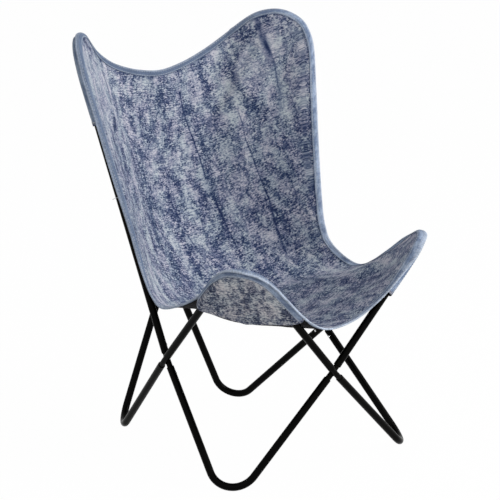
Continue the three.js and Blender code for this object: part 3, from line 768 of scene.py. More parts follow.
@dataclass(frozen=True)
class BindingTape:
    """Folded cotton tape with a fine rib across it, blue-grey and streaked.

    It is dyed darker in places, rubbed pale along its fold and its inner stitches, and darkened along its inner
    edge by painted seam shadow.
    Its noises have a size along the tape in metres, and one across it as a share of its width.
    """

    name: str = "edge_tape_cotton"
    light: tuple = colour(148, 162, 184)
    shade: tuple = colour(104, 119, 146)
    dark: tuple = colour(98, 112, 136)
    edge: tuple = colour(174, 184, 199)
    rib: float = 1.8 * MM
    patch: tuple = (24 * MM, 0.9, 0)
    speck: tuple = (3.6 * MM, 0.3, 0)
    streak: tuple = (26 * MM, 0.14, 0)
    thread: tuple = (2.6 * MM, 0.22, 0)

    def material(self) -> Material:
        """The tape's material."""
        graph = Graph.of(self.name)
        tape, along, across, dyed = graph.stored("tape")
        patch = graph.noise(tape, self.patch, 3.9, 3, 0.6)
        speck = graph.noise(tape, self.speck, 6.1, 2, 0.7)
        streak = graph.noise(tape, self.streak, 8.3, 3, 0.7).step(0.34, 0.66)
        thread = graph.noise(tape, self.thread, 2.3, 3, 0.8).step(0.34, 0.66)
        frayed = across + (speck - 0.5) * 0.2
        rubbed = frayed.near(0.0, 0.2) + frayed.near(0.8, 0.14) * 0.6
        body = graph.mix(dyed, graph.mix(patch.step(0.38, 0.62), self.shade, self.light), self.dark)
        mixed = graph.mix(rubbed * (0.85 - dyed * 0.35), body, self.edge)
        ribs = along.wave(self.rib) * 0.3 + speck * 0.6
        # painted seam shadow: darker along the tape's inner edges
        tone = (0.72 + streak * 0.3 + thread * 0.42) * (1 - frayed.near(1.0, 0.1) * 0.4)
        return graph.surface({
            "Base Color": graph.scaled(mixed, tone),
            "Roughness": 0.82 + speck * 0.14,
            "Specular IOR Level": 0.2,
            "Normal": graph.bump(ribs, 0.35 * MM, 0.5),
        })


@dataclass(frozen=True)
class SewingThread:
    """Twisted pale sewing thread."""

    name: str = "sewing_thread"
    tone: tuple = colour(188, 192, 198)
    dull: tuple = colour(140, 147, 160)
    twist: float = 0.5 * MM
    wear: float = 24 * MM

    def material(self) -> Material:
        """The thread's material."""
        graph = Graph.of(self.name)
        place = graph.object_place()
        twist = graph.noise(place, [self.twist] * 3, 1.9, 2)
        wear = graph.noise(place, [self.wear] * 3, 6.7, 3, 0.6)
        return graph.surface({
            "Base Color": graph.mix(wear.step(0.4, 0.65), self.tone, self.dull),
            "Roughness": 0.6 + twist * 0.25,
            "Normal": graph.bump(twist, 0.1 * MM, 0.5),
        })


# Frame plan


@dataclass
class Spot:
    """Where points lie from a bent tube's axis, one value of each for every point."""

    on_side: Array
    on_run: Array
    length: Array
    share: Array
    height: Array
    margin: Array


@dataclass
class Hairpin:
    """A bent tube's axis: a round bend, and two straight runs that leave it for their crossings."""

    centre: Array
    radius: float
    ends: dict[Run, Array]

    def __post_init__(self) -> None:
        """Works out the bend's plane, its tip, and where each run leaves it."""
        aims = {run: end - self.centre for run, end in self.ends.items()}
        normal = unit(np.cross(aims[Run.SIDE], aims[Run.MIDDLE]))
        self.normal = normal if inner(normal, SITTER - self.centre) >= 0 else -normal
        self.out: dict[Run, Array] = {}
        self.start: dict[Run, Array] = {}
        self.along: dict[Run, Array] = {}
        for run, other in ((Run.SIDE, Run.MIDDLE), (Run.MIDDLE, Run.SIDE)):
            aim = unit(aims[run])
            lean = np.cross(self.normal, aim)
            lean = -lean if inner(lean, aims[other]) > 0 else lean
            turn = math.acos(self.radius / np.linalg.norm(aims[run]))
            self.out[run] = aim * math.cos(turn) + lean * math.sin(turn)
            self.start[run] = self.centre + self.out[run] * self.radius
            self.along[run] = unit(self.ends[run] - self.start[run])
        self.tip = unit(self.out[Run.SIDE] + self.out[Run.MIDDLE])
        self.spread = math.acos(np.clip(inner(self.tip, self.out[Run.SIDE]), -1, 1))
        self.across = unit(self.out[Run.SIDE] - self.tip * math.cos(self.spread))

    def out_at(self, share: Any) -> Array:
        """The way out from the centre at a share of the bend, -1 at its middle run and 1 at its side run."""
        angle = np.asarray(share, float)[..., None] * self.spread
        return self.tip * np.cos(angle) + self.across * np.sin(angle)

    def by_bend(self, share: Any, margin: Any, height: Any) -> Array:
        """Points beside the bend: margin is outwards in its plane, height towards the sitter."""
        reach = (self.radius + np.asarray(margin, float))[..., None]
        return self.centre + self.out_at(share) * reach + np.asarray(height, float)[..., None] * self.normal

    def by_run(self, run: Run, length: Any, margin: Any, height: Any) -> Array:
        """Points beside a straight run, at a length from the bend."""
        reach = (self.radius + np.asarray(margin, float))[..., None]
        at = self.centre + self.out[run] * reach + np.asarray(length, float)[..., None] * self.along[run]
        return at + np.asarray(height, float)[..., None] * self.normal

    def locate(self, points: Array) -> Spot:
        """Where points lie from the axis, the other way round."""
        away = points - self.centre
        height = inner(away, self.normal)
        away = away - height[..., None] * self.normal
        on_side = inner(away, self.across) >= 0
        pick = on_side[..., None]
        along = np.where(pick, self.along[Run.SIDE], self.along[Run.MIDDLE])
        out = np.where(pick, self.out[Run.SIDE], self.out[Run.MIDDLE])
        length = inner(away, along)
        on_run = length > 0
        margin = np.where(on_run, inner(away, out), np.linalg.norm(away, axis=-1)) - self.radius
        share = np.arctan2(inner(away, self.across), inner(away, self.tip)) / self.spread
        return Spot(on_side, on_run, length, share, height, margin)

    def path(self, stop: float, places: Sequence[float], bend_steps: int) -> tuple[Array, Array]:
        """Stations along the tube's axis, from its side end to its middle end.

        Args:
            stop: how far the tube ends before the crossings.
            places: distances from a crossing at which each straight run has a station.
            bend_steps: steps round the bend.

        Returns:
            Points and the way along at each of them.
        """
        near = np.array([stop, *places])
        shares = np.linspace(1, -1, bend_steps + 1)
        out = self.out_at(shares)
        turned = unit(np.cross(out, np.cross(self.tip, self.across)))
        side = self.ends[Run.SIDE] - near[:, None] * self.along[Run.SIDE]
        middle = self.ends[Run.MIDDLE] - near[::-1, None] * self.along[Run.MIDDLE]
        points = np.concatenate([side, self.centre + out * self.radius, middle])
        back = np.broadcast_to(-self.along[Run.SIDE], side.shape)
        on = np.broadcast_to(self.along[Run.MIDDLE], middle.shape)
        return points, np.concatenate([back, turned, on])


@dataclass
class Arm:
    """One end of a bent tube, on its bar of a crossing."""

    tube: str
    label: str
    crossing: str
    layer: Layer
    middle: Array
    along: Array
    way: Array

    def at(self, length: float) -> Array:
        """A point on the arm's axis, at a distance from the crossing."""
        return self.middle + self.along * length

    def axes(self) -> Array:
        """The arm's own axes: along it, out through its button's hole, and across."""
        return np.stack([self.along, self.way, np.cross(self.along, self.way)])


@dataclass(frozen=True)
class TubeStock:
    """Sizes of the tube, of the spigots inside it and of the snap buttons."""

    radius: float = 8 * MM
    bore: float = 6.8 * MM
    stop: float = 17 * MM
    spigot: float = 6.2 * MM
    spigot_bore: float = 5 * MM
    spigot_reach: float = 60 * MM
    bore_start: float = 22 * MM
    bar_offset: float = 4.9 * MM
    bar_bend: float = 30 * MM
    button_place: float = 33 * MM
    button: float = 2.5 * MM
    button_stand: float = 2 * MM
    button_dome: float = 1.4 * MM
    hole: float = 2.8 * MM
    flange: float = 3.2 * MM
    flange_top: float = 3.03 * MM
    flange_thickness: float = 0.8 * MM
    spring_thickness: float = 0.4 * MM
    spring_width: float = 4.4 * MM
    spring_tail: float = 16 * MM
    spring_head: float = 4 * MM
    spring_back: float = 7 * MM
    spring_ramp: float = 4 * MM
    spring_seat: float = -3.516 * MM  # height of the lower leaf's middle over the arm's axis
    spring_under: float = 1.73 * MM  # and of the upper leaf's
    foot_flat: float = 0.5 * MM
    cad_flat: float = 8 * MM * math.cos(math.pi / 12)  # from the axis to the flat of a facet of the CAD tube


@dataclass
class FramePlan:
    """Where the frame's crossings and bends are, and which tube slides on which bar."""

    stock: TubeStock = field(default_factory=TubeStock)
    front_top: tuple = (222, -260, 430, 51)
    back_top: tuple = (257, 217, 814, 71)
    front_foot: tuple = (213, -217, 53)
    back_foot: tuple = (149, 232, 47)
    foot_steps: int = 12  # steps in which a foot's bend finds its height

    def __post_init__(self) -> None:
        """Works out the crossings, the hairpins and their arms."""
        self.crossings = {
            "left": (point(-224, 0, 221), np.array([-1.0, 0, 0])),
            "right": (point(224, 0, 221), np.array([1.0, 0, 0])),
            "front": (point(0, -286, 219), np.array([0, -1.0, 0])),
            "back": (point(0, 283, 328), np.array([0, 1.0, 0])),
        }
        o, i = Layer.OUTER, Layer.INNER
        self.tubes = {
            "front_corner_tube_left": (("left", o), ("front", o)),
            "front_corner_tube_right": (("right", o), ("front", i)),
            "back_corner_tube_left": (("left", i), ("back", i)),
            "back_corner_tube_right": (("right", i), ("back", o)),
            "foot_tube_front_left": (("left", i), ("front", i)),
            "foot_tube_front_right": (("right", i), ("front", o)),
            "foot_tube_back_left": (("left", o), ("back", o)),
            "foot_tube_back_right": (("right", o), ("back", i)),
        }
        self.hairpins = {name: self._hairpin(name) for name in self.tubes}
        self.arms = [self._arm(name, run) for name in self.tubes for run in Run]

    def _bar(self, crossing: str, layer: Layer) -> Array:
        """The middle of one bar of a crossing."""
        at, out = self.crossings[crossing]
        return at + out * layer.value * self.stock.bar_offset

    def _hairpin(self, name: str) -> Hairpin:
        """The axis of one bent tube: a foot's bend is as high as lets it stand on the floor."""
        sign = -1 if name.endswith("left") else 1
        side, middle = self.tubes[name]
        ends = {Run.SIDE: self._bar(*side), Run.MIDDLE: self._bar(*middle)}
        if not name.startswith("foot"):
            x, y, z, radius = self.front_top if name.startswith("front") else self.back_top
            return Hairpin(point(sign * x, y, z), radius * MM, ends)
        x, y, radius = self.front_foot if "front" in name else self.back_foot
        bend = Hairpin(point(sign * x, y, radius), radius * MM, ends)
        for _ in range(self.foot_steps):
            drop = bend.radius * math.sqrt(1 - bend.normal[2] ** 2)
            height = drop + self.stock.cad_flat - self.stock.foot_flat
            bend = Hairpin(np.array([*point(sign * x, y, 0)[:2], height]), radius * MM, ends)
        return bend

    def _arm(self, tube: str, run: Run) -> Arm:
        """One end of a tube, with the way in to the chair where its button shows."""
        crossing, layer = self.tubes[tube][0 if run is Run.SIDE else 1]
        along = -self.hairpins[tube].along[run]
        way = -self.crossings[crossing][1]
        way = unit(way - inner(way, along) * along)
        label = tube.replace("_tube", "") + "_" + run.value
        return Arm(tube, label, crossing, layer, self._bar(crossing, layer), along, way)

    def top(self, corner: Corner, side: Side) -> Hairpin:
        """The bend of one top corner."""
        return self.hairpins[f"{corner.value}_corner_tube_{side.name.lower()}"]


# Frame pieces


@dataclass
class TubeFrame:
    """The bent tubes, the cross joints inside their ends, and the snap buttons and springs."""

    plan: FramePlan
    sides: int = 56
    bend_steps: int = 60
    hole_sides: int = 28
    chamfer: float = 0.4 * MM
    bead: float = 1.5 * MM
    bead_steps: int = 40
    bead_sides: int = 12
    bead_pull: float = 1.5  # the power that makes the bead's ring four-cornered
    bar_steps: int = 12
    leaf_bend_steps: int = 12
    leaf_rise_steps: int = 8
    dome_steps: int = 8
    button_sides: int = 32
    button_sharp: float = 40
    button_edge: float = 0.1 * MM
    hole_ring: tuple = (-7 * MM, -4.5 * MM, 4.5 * MM, 7 * MM)  # stations before and after a hole's middle

    def build(self) -> None:
        """Builds and dresses every piece of the frame."""
        coat = PowderCoat("black_powder_coat").material()
        joint = PowderCoat("black_joint_coat", roughness=0.36, lit=colour(22, 20, 18)).material()
        zinc = BareMetal("bright_zinc", colour(214, 215, 216), colour(170, 172, 174), 0.16).material()
        leaf = BareMetal("spring_steel", colour(150, 152, 156), colour(108, 108, 112), 0.28).material()
        for name in self.plan.tubes:
            dress(self.tube(name), CHAIR, name, "frame_coat", coat)
        for crossing in self.plan.crossings:
            dress(self.cross_joint(crossing), CHAIR, "cross_joint_" + crossing, "joint_steel", joint)
        for arm in self.plan.arms:
            body = "button_" + arm.label
            dress(self.button(arm), body, "snap_button_" + arm.label, "button", zinc)
            self._spring_on(arm, leaf)

    def _spring_on(self, arm: Arm, leaf: Material) -> None:
        """Builds one spring, the leaf between the chair and its button, gives it its finish and hides its CAD
        part.
        """
        made, stock = self.spring(arm), self.plan.stock
        made.data.materials.append(leaf)
        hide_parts("snap_spring_" + arm.label)
        seat = arm.at(stock.button_place) + ORIGIN_SHIFT
        low, high = stock.spring_seat + stock.spring_thickness, stock.spring_under - stock.spring_thickness
        tuple(seat + arm.way * low)
        tuple(seat + arm.way * high)
        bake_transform(made)
        LOG.info("%s: %d faces", made.name, len(made.data.polygons))

    def tube(self, name: str) -> Piece:
        """One bent tube: a ring carried along its axis outside, and back along its bore, with chamfered ends.

        A foot's tube is flat where it would pass the floor, and each end has a hole for its button.
        """
        stock, bend = self.plan.stock, self.plan.hairpins[name]
        hole = stock.button_place + np.array(self.hole_ring)
        places = [*hole, 2 * stock.button_place]
        axis, way = bend.path(stock.stop, [stock.stop + self.chamfer, *places], self.bend_steps)
        radii = np.full(len(axis), stock.radius)
        radii[[0, -1]] -= self.chamfer
        bore_axis, bore_way = bend.path(stock.stop, places, self.bend_steps // 2)
        axis = np.concatenate([axis, bore_axis[::-1]])
        way = np.concatenate([way, bore_way[::-1]])
        radii = np.concatenate([radii, np.full(len(bore_axis), stock.bore)])
        points = sweep(axis, way, bend.normal, radii, self.sides)
        outside = radii > stock.bore
        points[outside, :, 2] = np.maximum(points[outside, :, 2], 0)
        made = make_piece("bent_" + name, points, quads(len(axis), self.sides, True, True), closed=True)
        for arm in self.plan.arms:
            if arm.tube == name:
                carve(made, self._drill(arm))
        keep_edges(made)
        return made

    def _prism(self, name: str, start: Array, axes: Array, radius: float, height: float) -> Piece:
        """A round cutting tool that stands on a point."""
        profile = np.array([[0, 0], [radius, 0], [radius, height], [0, height]])
        return make_piece(name, *revolve(profile, axes, start, self.hole_sides), closed=True)

    def _drill(self, arm: Arm) -> Piece:
        """The tool that cuts one arm's button hole."""
        stock = self.plan.stock
        return self._prism("drill", arm.at(stock.button_place), arm.axes(), stock.hole, 2 * stock.radius)

    def _reamer(self, arm: Arm) -> Piece:
        """The tool that bores one spigot."""
        stock = self.plan.stock
        axes = np.stack([arm.way, arm.along, np.cross(arm.way, arm.along)])
        return self._prism("reamer", arm.at(stock.bore_start), axes, stock.spigot_bore, stock.spigot_reach)

    def _bar(self, first: Arm, second: Arm) -> Piece:
        """A spigot bar between two arms, bent a little at the crossing: a ring carried along its axis."""
        stock = self.plan.stock
        turn = math.pi - math.acos(np.clip(inner(first.along, second.along), -1, 1))
        back = stock.bar_bend * math.tan(turn / 2)
        inward = unit(first.along + second.along)
        centre = first.middle + inward * stock.bar_bend / math.cos(turn / 2)
        plane = unit(np.cross(first.along, second.along))
        start = unit(first.at(back) - centre)
        square = unit(second.at(back) - centre - inner(second.at(back) - centre, start) * start)
        angle = np.linspace(0, turn, self.bar_steps + 1)[:, None]
        arc = centre + stock.bar_bend * (np.cos(angle) * start + np.sin(angle) * square)
        arc_way = np.cos(angle) * square - np.sin(angle) * start
        reach = stock.spigot_reach
        axis = np.concatenate([[first.at(reach), first.at(reach - self.chamfer)], arc,
                               [second.at(reach - self.chamfer), second.at(reach)]])
        way = np.concatenate([[-first.along] * 2, arc_way, [second.along] * 2])
        radii = np.full(len(axis), stock.spigot)
        radii[[0, -1]] -= self.chamfer
        points = sweep(axis, way, plane, radii, self.sides)
        last = (len(axis) - 1) * self.sides
        caps = [list(range(self.sides))[::-1], [last + k for k in range(self.sides)]]
        faces = quads(len(axis), self.sides, wrap_columns=True).tolist() + caps
        return make_piece("bar", points, faces, closed=True)

    def _weld(self, crossing: str, one: Array, other: Array) -> Piece:
        """A weld bead: a small ring carried round the four-cornered joint between two crossing bars."""
        stock = self.plan.stock
        at, out = self.plan.crossings[crossing]
        half = math.sqrt(stock.spigot**2 - stock.bar_offset**2)
        one, other = (unit(v - inner(v, out) * out) for v in (one, other))
        sine = np.linalg.norm(np.cross(one, other))
        long, short = (one + other) * half / sine, (one - other) * half / sine
        turn = circle(self.bead_steps)
        bulge = [np.sign(f(turn)) * np.abs(f(turn)) ** self.bead_pull for f in (np.cos, np.sin)]
        axis = at + bulge[0][:, None] * long + bulge[1][:, None] * short
        way = unit(np.roll(axis, -1, 0) - np.roll(axis, 1, 0))
        points = sweep(axis, way, out, self.bead, self.bead_sides)
        return make_piece("bead", points, quads(len(axis), self.bead_sides, True, True), closed=True)

    def cross_joint(self, crossing: str) -> Piece:
        """Two spigot bars welded where they cross, with a bore and a button hole in each arm."""
        own = [arm for arm in self.plan.arms if arm.crossing == crossing]
        pairs = [[arm for arm in own if arm.layer is layer] for layer in Layer]
        made = self._bar(*pairs[0])
        made.name = made.data.name = "welded_joint_" + crossing
        carve(made, self._bar(*pairs[1]), "UNION")
        carve(made, self._weld(crossing, pairs[0][0].along, pairs[1][0].along), "UNION")
        for arm in own:
            carve(made, self._reamer(arm))
            carve(made, self._drill(arm))
        keep_edges(made)
        return made

    def spring(self, arm: Arm) -> Piece:
        """A leaf spring: a strip along a flat leaf, a half round, a rise 3t^2 - 2t^3 and a second leaf."""
        stock = self.plan.stock
        low, high = stock.spring_seat, stock.spring_under
        bend = (high - low) / 4
        turn = np.linspace(0, np.pi, self.leaf_bend_steps + 1)
        rise = np.linspace(0, 1, self.leaf_rise_steps + 1)[1:]
        along = np.concatenate([
            [stock.spring_tail], -stock.spring_back - bend * np.sin(turn),
            -stock.spring_back + stock.spring_ramp * rise, [stock.spring_head],
        ])
        up = np.concatenate([
            [low], low + bend * (1 - np.cos(turn)), blend(low + 2 * bend, high, ease(rise, 0, 1)), [high],
        ])
        way = unit(np.stack([np.gradient(along), np.gradient(up)], axis=-1))
        half, wide = stock.spring_thickness / 2, stock.spring_width / 2
        corners = np.array([[-half, -wide], [half, -wide], [half, wide], [-half, wide]])
        local = np.stack(np.broadcast_arrays(
            along[:, None] - way[:, 1, None] * corners[:, 0], up[:, None] + way[:, 0, None] * corners[:, 0],
            corners[:, 1],
        ), axis=-1)
        last = 4 * (len(along) - 1)
        caps = [[3, 2, 1, 0], [last + k for k in range(4)]]
        faces = quads(len(along), 4, wrap_columns=True).tolist() + caps
        points = arm.at(stock.button_place) + local @ arm.axes()
        made = make_piece("leaf_" + arm.label, points, faces, closed=True)
        keep_edges(made)
        return made

    def button(self, arm: Arm) -> Piece:
        """A snap button: a turned pin with a domed head and a flange under it."""
        stock = self.plan.stock
        top, low = stock.radius + stock.button_stand, stock.flange_top - stock.flange_thickness
        turn = np.linspace(0, np.pi / 2, self.dome_steps + 1)
        dome = np.stack([stock.button * np.cos(turn), top - stock.button_dome * (1 - np.sin(turn))], axis=-1)
        rim, edge = stock.flange, self.button_edge
        foot = np.array([
            [0, low], [rim - edge, low], [rim, low + edge], [rim, stock.flange_top - edge],
            [rim - edge, stock.flange_top], [stock.button, stock.flange_top],
        ])
        profile = np.concatenate([foot, dome])
        profile[-1, 0] = 0
        shape = revolve(profile, arm.axes(), arm.at(stock.button_place), self.button_sides)
        made = make_piece("pin_" + arm.label, *shape, closed=True)
        keep_edges(made, self.button_sharp)
        return made


# Sling


@dataclass
class SlingPlan:
    """The sling's shape: its edge round the four top bends, its middle line, and the cloth between them.

    The cloth is first worked out at the CAD model's own stations, and a spline each way through those points
    gives any point of it.
    """

    plan: FramePlan
    ride: float = 9.3 * MM  # from a tube's axis to the middle of the cloth on it
    margin: float = 15 * MM  # from a tube's axis out to the cloth's edge
    crossing_lift: float = 5 * MM
    ridge: float = 90 * MM
    pocket_back: float = 105 * MM
    pocket_front: float = 98 * MM
    front_rise: float = 14 * MM
    front_lift: float = 21 * MM
    front_curl: float = -6 * MM
    right_raise: float = 4 * MM
    hollow: float = 17 * MM
    hollow_place: tuple = (12.8, 0.85)  # where along the edge it lies and how far it spreads, in spans
    hollow_columns: tuple = (0, 0.25, 0.5, 0.7, 1, 0.6, 0.2, 0, 0)
    left_sag: float = 10 * MM
    flare: float = 10 * MM
    spine_start: float = 0.12
    flat_reach: tuple = (0.9, 2.2)  # radii from a bend's centre between which the cloth stops being flat
    flat_steps: int = 900
    first_width: float = 1.2  # how much wider than it hangs the cloth is first guessed to be when flat
    middle_points: int = 500
    edge_step: float = 0.004  # spans each way in which the edge's slope is measured
    spans: int = 20
    straight_spans: tuple = (6, 7, 8, 12, 17)
    edge_steps: tuple = (0.0, 3 * MM, 8 * MM, 12 * MM, 27 * MM)
    inner_shares: tuple = (0.76, 0.52, 0.27, 0.0)
    top_middle: Array = field(default_factory=lambda: point(0, 310, 777))
    front_middle: Array = field(default_factory=lambda: point(0, -298, 321))

    def __post_init__(self) -> None:
        """Works out the edge, the middle line and the net of points."""
        right, left = self._edge(Side.RIGHT), self._edge(Side.LEFT)
        self.edge = Spline(np.concatenate([right, left[-2:0:-1]]), closed=True)
        self.middle = Spline(np.stack([
            self.top_middle, point(0, 288, 610), point(0, 232, 430), point(0, 135, 315), point(0, 0, 275),
            point(0, -150, 292), self.front_middle,
        ]))
        half = [s + h for s in range(self.spans) for h in ((0,) if s in self.straight_spans else (0, 0.5))]
        half.append(float(self.spans))
        self.loop = np.array([*half, *(2 * self.spans - s for s in half[-2:0:-1])])
        self.net = self._net()
        self.flat_net = self._flatten()

    def _edge(self, side: Side) -> Array:
        """Points on one side's edge, from the middle of the top edge to the middle of the front edge."""
        back, front = self.plan.top(Corner.BACK, side), self.plan.top(Corner.FRONT, side)
        sign, m, run, mid = side.value, self.margin, Run.SIDE, Run.MIDDLE
        pb, pf, rise, flare = self.pocket_back, self.pocket_front, self.front_rise, self.flare
        sag, up = (self.left_sag, 0) if side is Side.LEFT else (0, self.right_raise)
        return np.stack([
            self.top_middle,
            point(sign * 119, 310, 804) + np.array([0, 0, up]),
            back.by_bend(-1, m + 22 * MM + up, self.ride),
            back.by_bend(-0.5, m + 4 * MM, 0.7 * self.ride),
            back.by_bend(0, m, 0),
            back.by_bend(0.5, m, 0),
            back.by_run(run, 0, m, 0),
            back.by_run(run, pb, m, 0),
            back.by_run(run, 2.1 * pb, m - 2 * MM, 0),
            back.by_run(run, 3.3 * pb, m - 2 * MM, 3 * MM),
            back.by_run(run, 4.2 * pb, m + 10 * MM, 6 * MM),
            point(sign * 272, -50, 357) + np.array([0, 0, up]),
            front.by_run(run, pf, m, self.front_lift),
            front.by_run(run, pf / 5, m, rise),
            front.by_bend(0.5, m, 2 * MM),
            front.by_bend(0, m, self.front_curl),
            front.by_bend(-0.5, m, self.front_curl),
            front.by_bend(-1, m + flare / 2, self.front_curl),
            front.by_run(mid, pf, m + 1.5 * flare, self.ride / 2 - sag),
            front.by_run(mid, 1.8 * pf, m + 1.6 * flare, 24 * MM - sag / 2),
            self.front_middle,
        ])

    def _net(self) -> Array:
        """The CAD model's points: rows in from the edge to the middle line.

        A point at share s of a row has x = edge x * s, and y and z a share s^2 of the way from the middle line
        to the edge. It sinks a little inside the free edges behind the front corners, and is then laid on the
        tubes.
        """
        index = np.minimum(self.loop, 2 * self.spans - self.loop)
        place = blend(self.spine_start, 1 - self.spine_start, ease(index / self.spans, 0, 1))
        middle = self.middle.at(self.middle.by_length(0, place))
        edge = self.edge.at(self.loop)
        ahead, behind = self.loop + self.edge_step, self.loop - self.edge_step + 2 * self.spans
        tangent = unit(self.edge.at(ahead) - self.edge.at(behind))
        slope = (edge - middle) * np.array([1, 2, 2])
        square = np.linalg.norm(np.cross(slope, tangent), axis=-1)
        near = 1 - np.array(self.edge_steps) / square[:, None]
        rest = np.broadcast_to(self.inner_shares, (len(near), len(self.inner_shares)))
        shares = np.concatenate([near, rest], axis=1)
        bowed = np.stack([shares, shares**2, shares**2], axis=-1)
        points = blend(middle[:, None] * np.array([0, 1, 1]), edge[:, None], bowed)
        laid = points.copy()
        hollowed = bell(index, *self.hollow_place)[:, None] * np.array(self.hollow_columns)
        sunk = self.hollow * hollowed[..., None]
        for side in Side:
            rows = self.loop <= self.spans if side is Side.RIGHT else self.loop > self.spans
            below = sunk[rows] * self.plan.top(Corner.FRONT, side).normal
            laid[rows] = self._lay(points[rows] - below, edge[rows][:, None], side)
        laid[:, -1] = points[:, -1]
        return laid

    def _lay(self, points: Array, edge: Array, side: Side) -> Array:
        """Lays points on the two top bends of a side, flat inside the bends and curling down to their edge."""
        for corner in (Corner.BACK, Corner.FRONT):
            bend = self.plan.top(corner, side)
            spot, rim = bend.locate(points), bend.locate(edge)
            hump = np.exp(-((spot.margin / self.ridge) ** 2))
            share = np.clip(spot.margin / np.maximum(rim.margin, MM), 0, 1)
            curl = rim.height + (self.ride - rim.height) * (1 - share**4)
            ride = np.where(spot.margin <= 0, self.ride * hump, curl)
            other = spot.on_run & (spot.on_side != rim.on_side)
            ride = np.where(other, (self.ride + self.crossing_lift) * hump, ride)
            held = np.clip(1 - rim.height / self.ride, 0, 1)
            far = np.linalg.norm(points - bend.centre, axis=-1) / bend.radius
            flat = held * (1 - ease(far, *self.flat_reach))
            level = np.where(spot.margin < 0, self.ride, ride)
            height = np.maximum(blend(spot.height, level, flat), ride)
            close = np.maximum(np.abs(spot.margin), np.abs(spot.height)) <= 2 * bend.radius
            points = points + np.where(close, height - spot.height, 0)[..., None] * bend.normal
        return points

    def round_edge(self, side: Side, spans: Any) -> Any:
        """Spans down one side's edge, from the middle of the top, as places round the whole edge."""
        return spans if side is Side.RIGHT else 2 * self.spans - spans

    def stations(self, loop: Array) -> Array:
        """Places round the edge, given in spans, as places in the net's rows."""
        whole = np.append(self.loop, 2.0 * self.spans)
        return np.interp(loop, whole, np.arange(len(whole)))

    def around(self, count: int) -> Array:
        """Places in the net's rows that are evenly spaced along the edge."""
        return Spline(self.net[:, 0], closed=True).by_length(count)

    def columns(self, depth: Any) -> Array:
        """Distances in from the edge as places in the net's columns."""
        return np.interp(depth, self.edge_steps, np.arange(len(self.edge_steps)))

    def surface(self, rows: Array, columns: Array, flat: bool = False) -> Array:
        """Points of the cloth, or its flat measures, at places in the net.

        Each row of the net goes on past the middle line into the facing one.
        """
        net = self.flat_net if flat else self.net
        facing = np.roll(net[::-1], 1, axis=0)
        return through(np.concatenate([net, facing[:, -2:-4:-1]], axis=1), rows, columns, closed=True)

    @staticmethod
    def normals(points: Array) -> Array:
        """Unit normals of a closed band of points, towards the sitter."""
        along = np.roll(points, -1, axis=0) - np.roll(points, 1, axis=0)
        normal = unit(np.cross(along, np.gradient(points, axis=1)))
        return normal * np.sign(inner(normal, SITTER - points).mean())

    def _flatten(self) -> Array:
        """The net laid flat: each of its points across from the middle line, and along it from the top edge.

        Neighbouring points are joined by springs as long as the cloth between them, the shorter the stiffer, and
        every step moves each point by the mean of what its springs ask. The first guess unrolls the middle line.
        """
        rows, width = self.net.shape[:2]
        number = np.arange(rows * width).reshape(rows, width)
        after = np.roll(number, -1, axis=0)
        joined = (
            (number[:, :-1], number[:, 1:]), (number, after),
            (number[:, :-1], after[:, 1:]), (number[:, 1:], after[:, :-1]),
        )
        first, second = (np.concatenate([pair[k].ravel() for pair in joined]) for k in (0, 1))
        solid = self.net.reshape(-1, 3)
        length = np.linalg.norm(solid[first] - solid[second], axis=-1)
        stiff = 1 / length
        share = 1 / np.bincount(np.concatenate([first, second]), np.concatenate([stiff, stiff]))[:, None]
        spine, facing = number[:, -1], number[-np.arange(rows) % rows, -1]
        flat = self._unrolled(solid)
        for _ in range(self.flat_steps):
            gap = flat[second] - flat[first]
            now = np.maximum(np.linalg.norm(gap, axis=-1), 1e-6)
            pull = gap * (stiff * (now - length) / now / 2)[:, None]
            move = np.zeros_like(flat)
            np.add.at(move, first, pull)
            np.subtract.at(move, second, pull)
            flat = flat + move * share
            flat[spine] = (flat[spine] + flat[facing]) / 2
        return flat.reshape(rows, width, 2)

    def _unrolled(self, points: Array) -> Array:
        """Points by their x, and by the length along the middle line to the place beside them."""
        line = self.middle.at(self.middle.by_length(self.middle_points))
        way = unit(np.gradient(line, axis=0))
        length = lengths(line)
        gaps = (points[:, 1, None] - line[:, 1]) ** 2 + (points[:, 2, None] - line[:, 2]) ** 2
        near = np.argmin(gaps, axis=1)
        off = (points - line[near]) * np.array([0, 1, 1])
        return np.stack([points[:, 0] * self.first_width, length[near] + inner(off, way[near])], axis=-1)


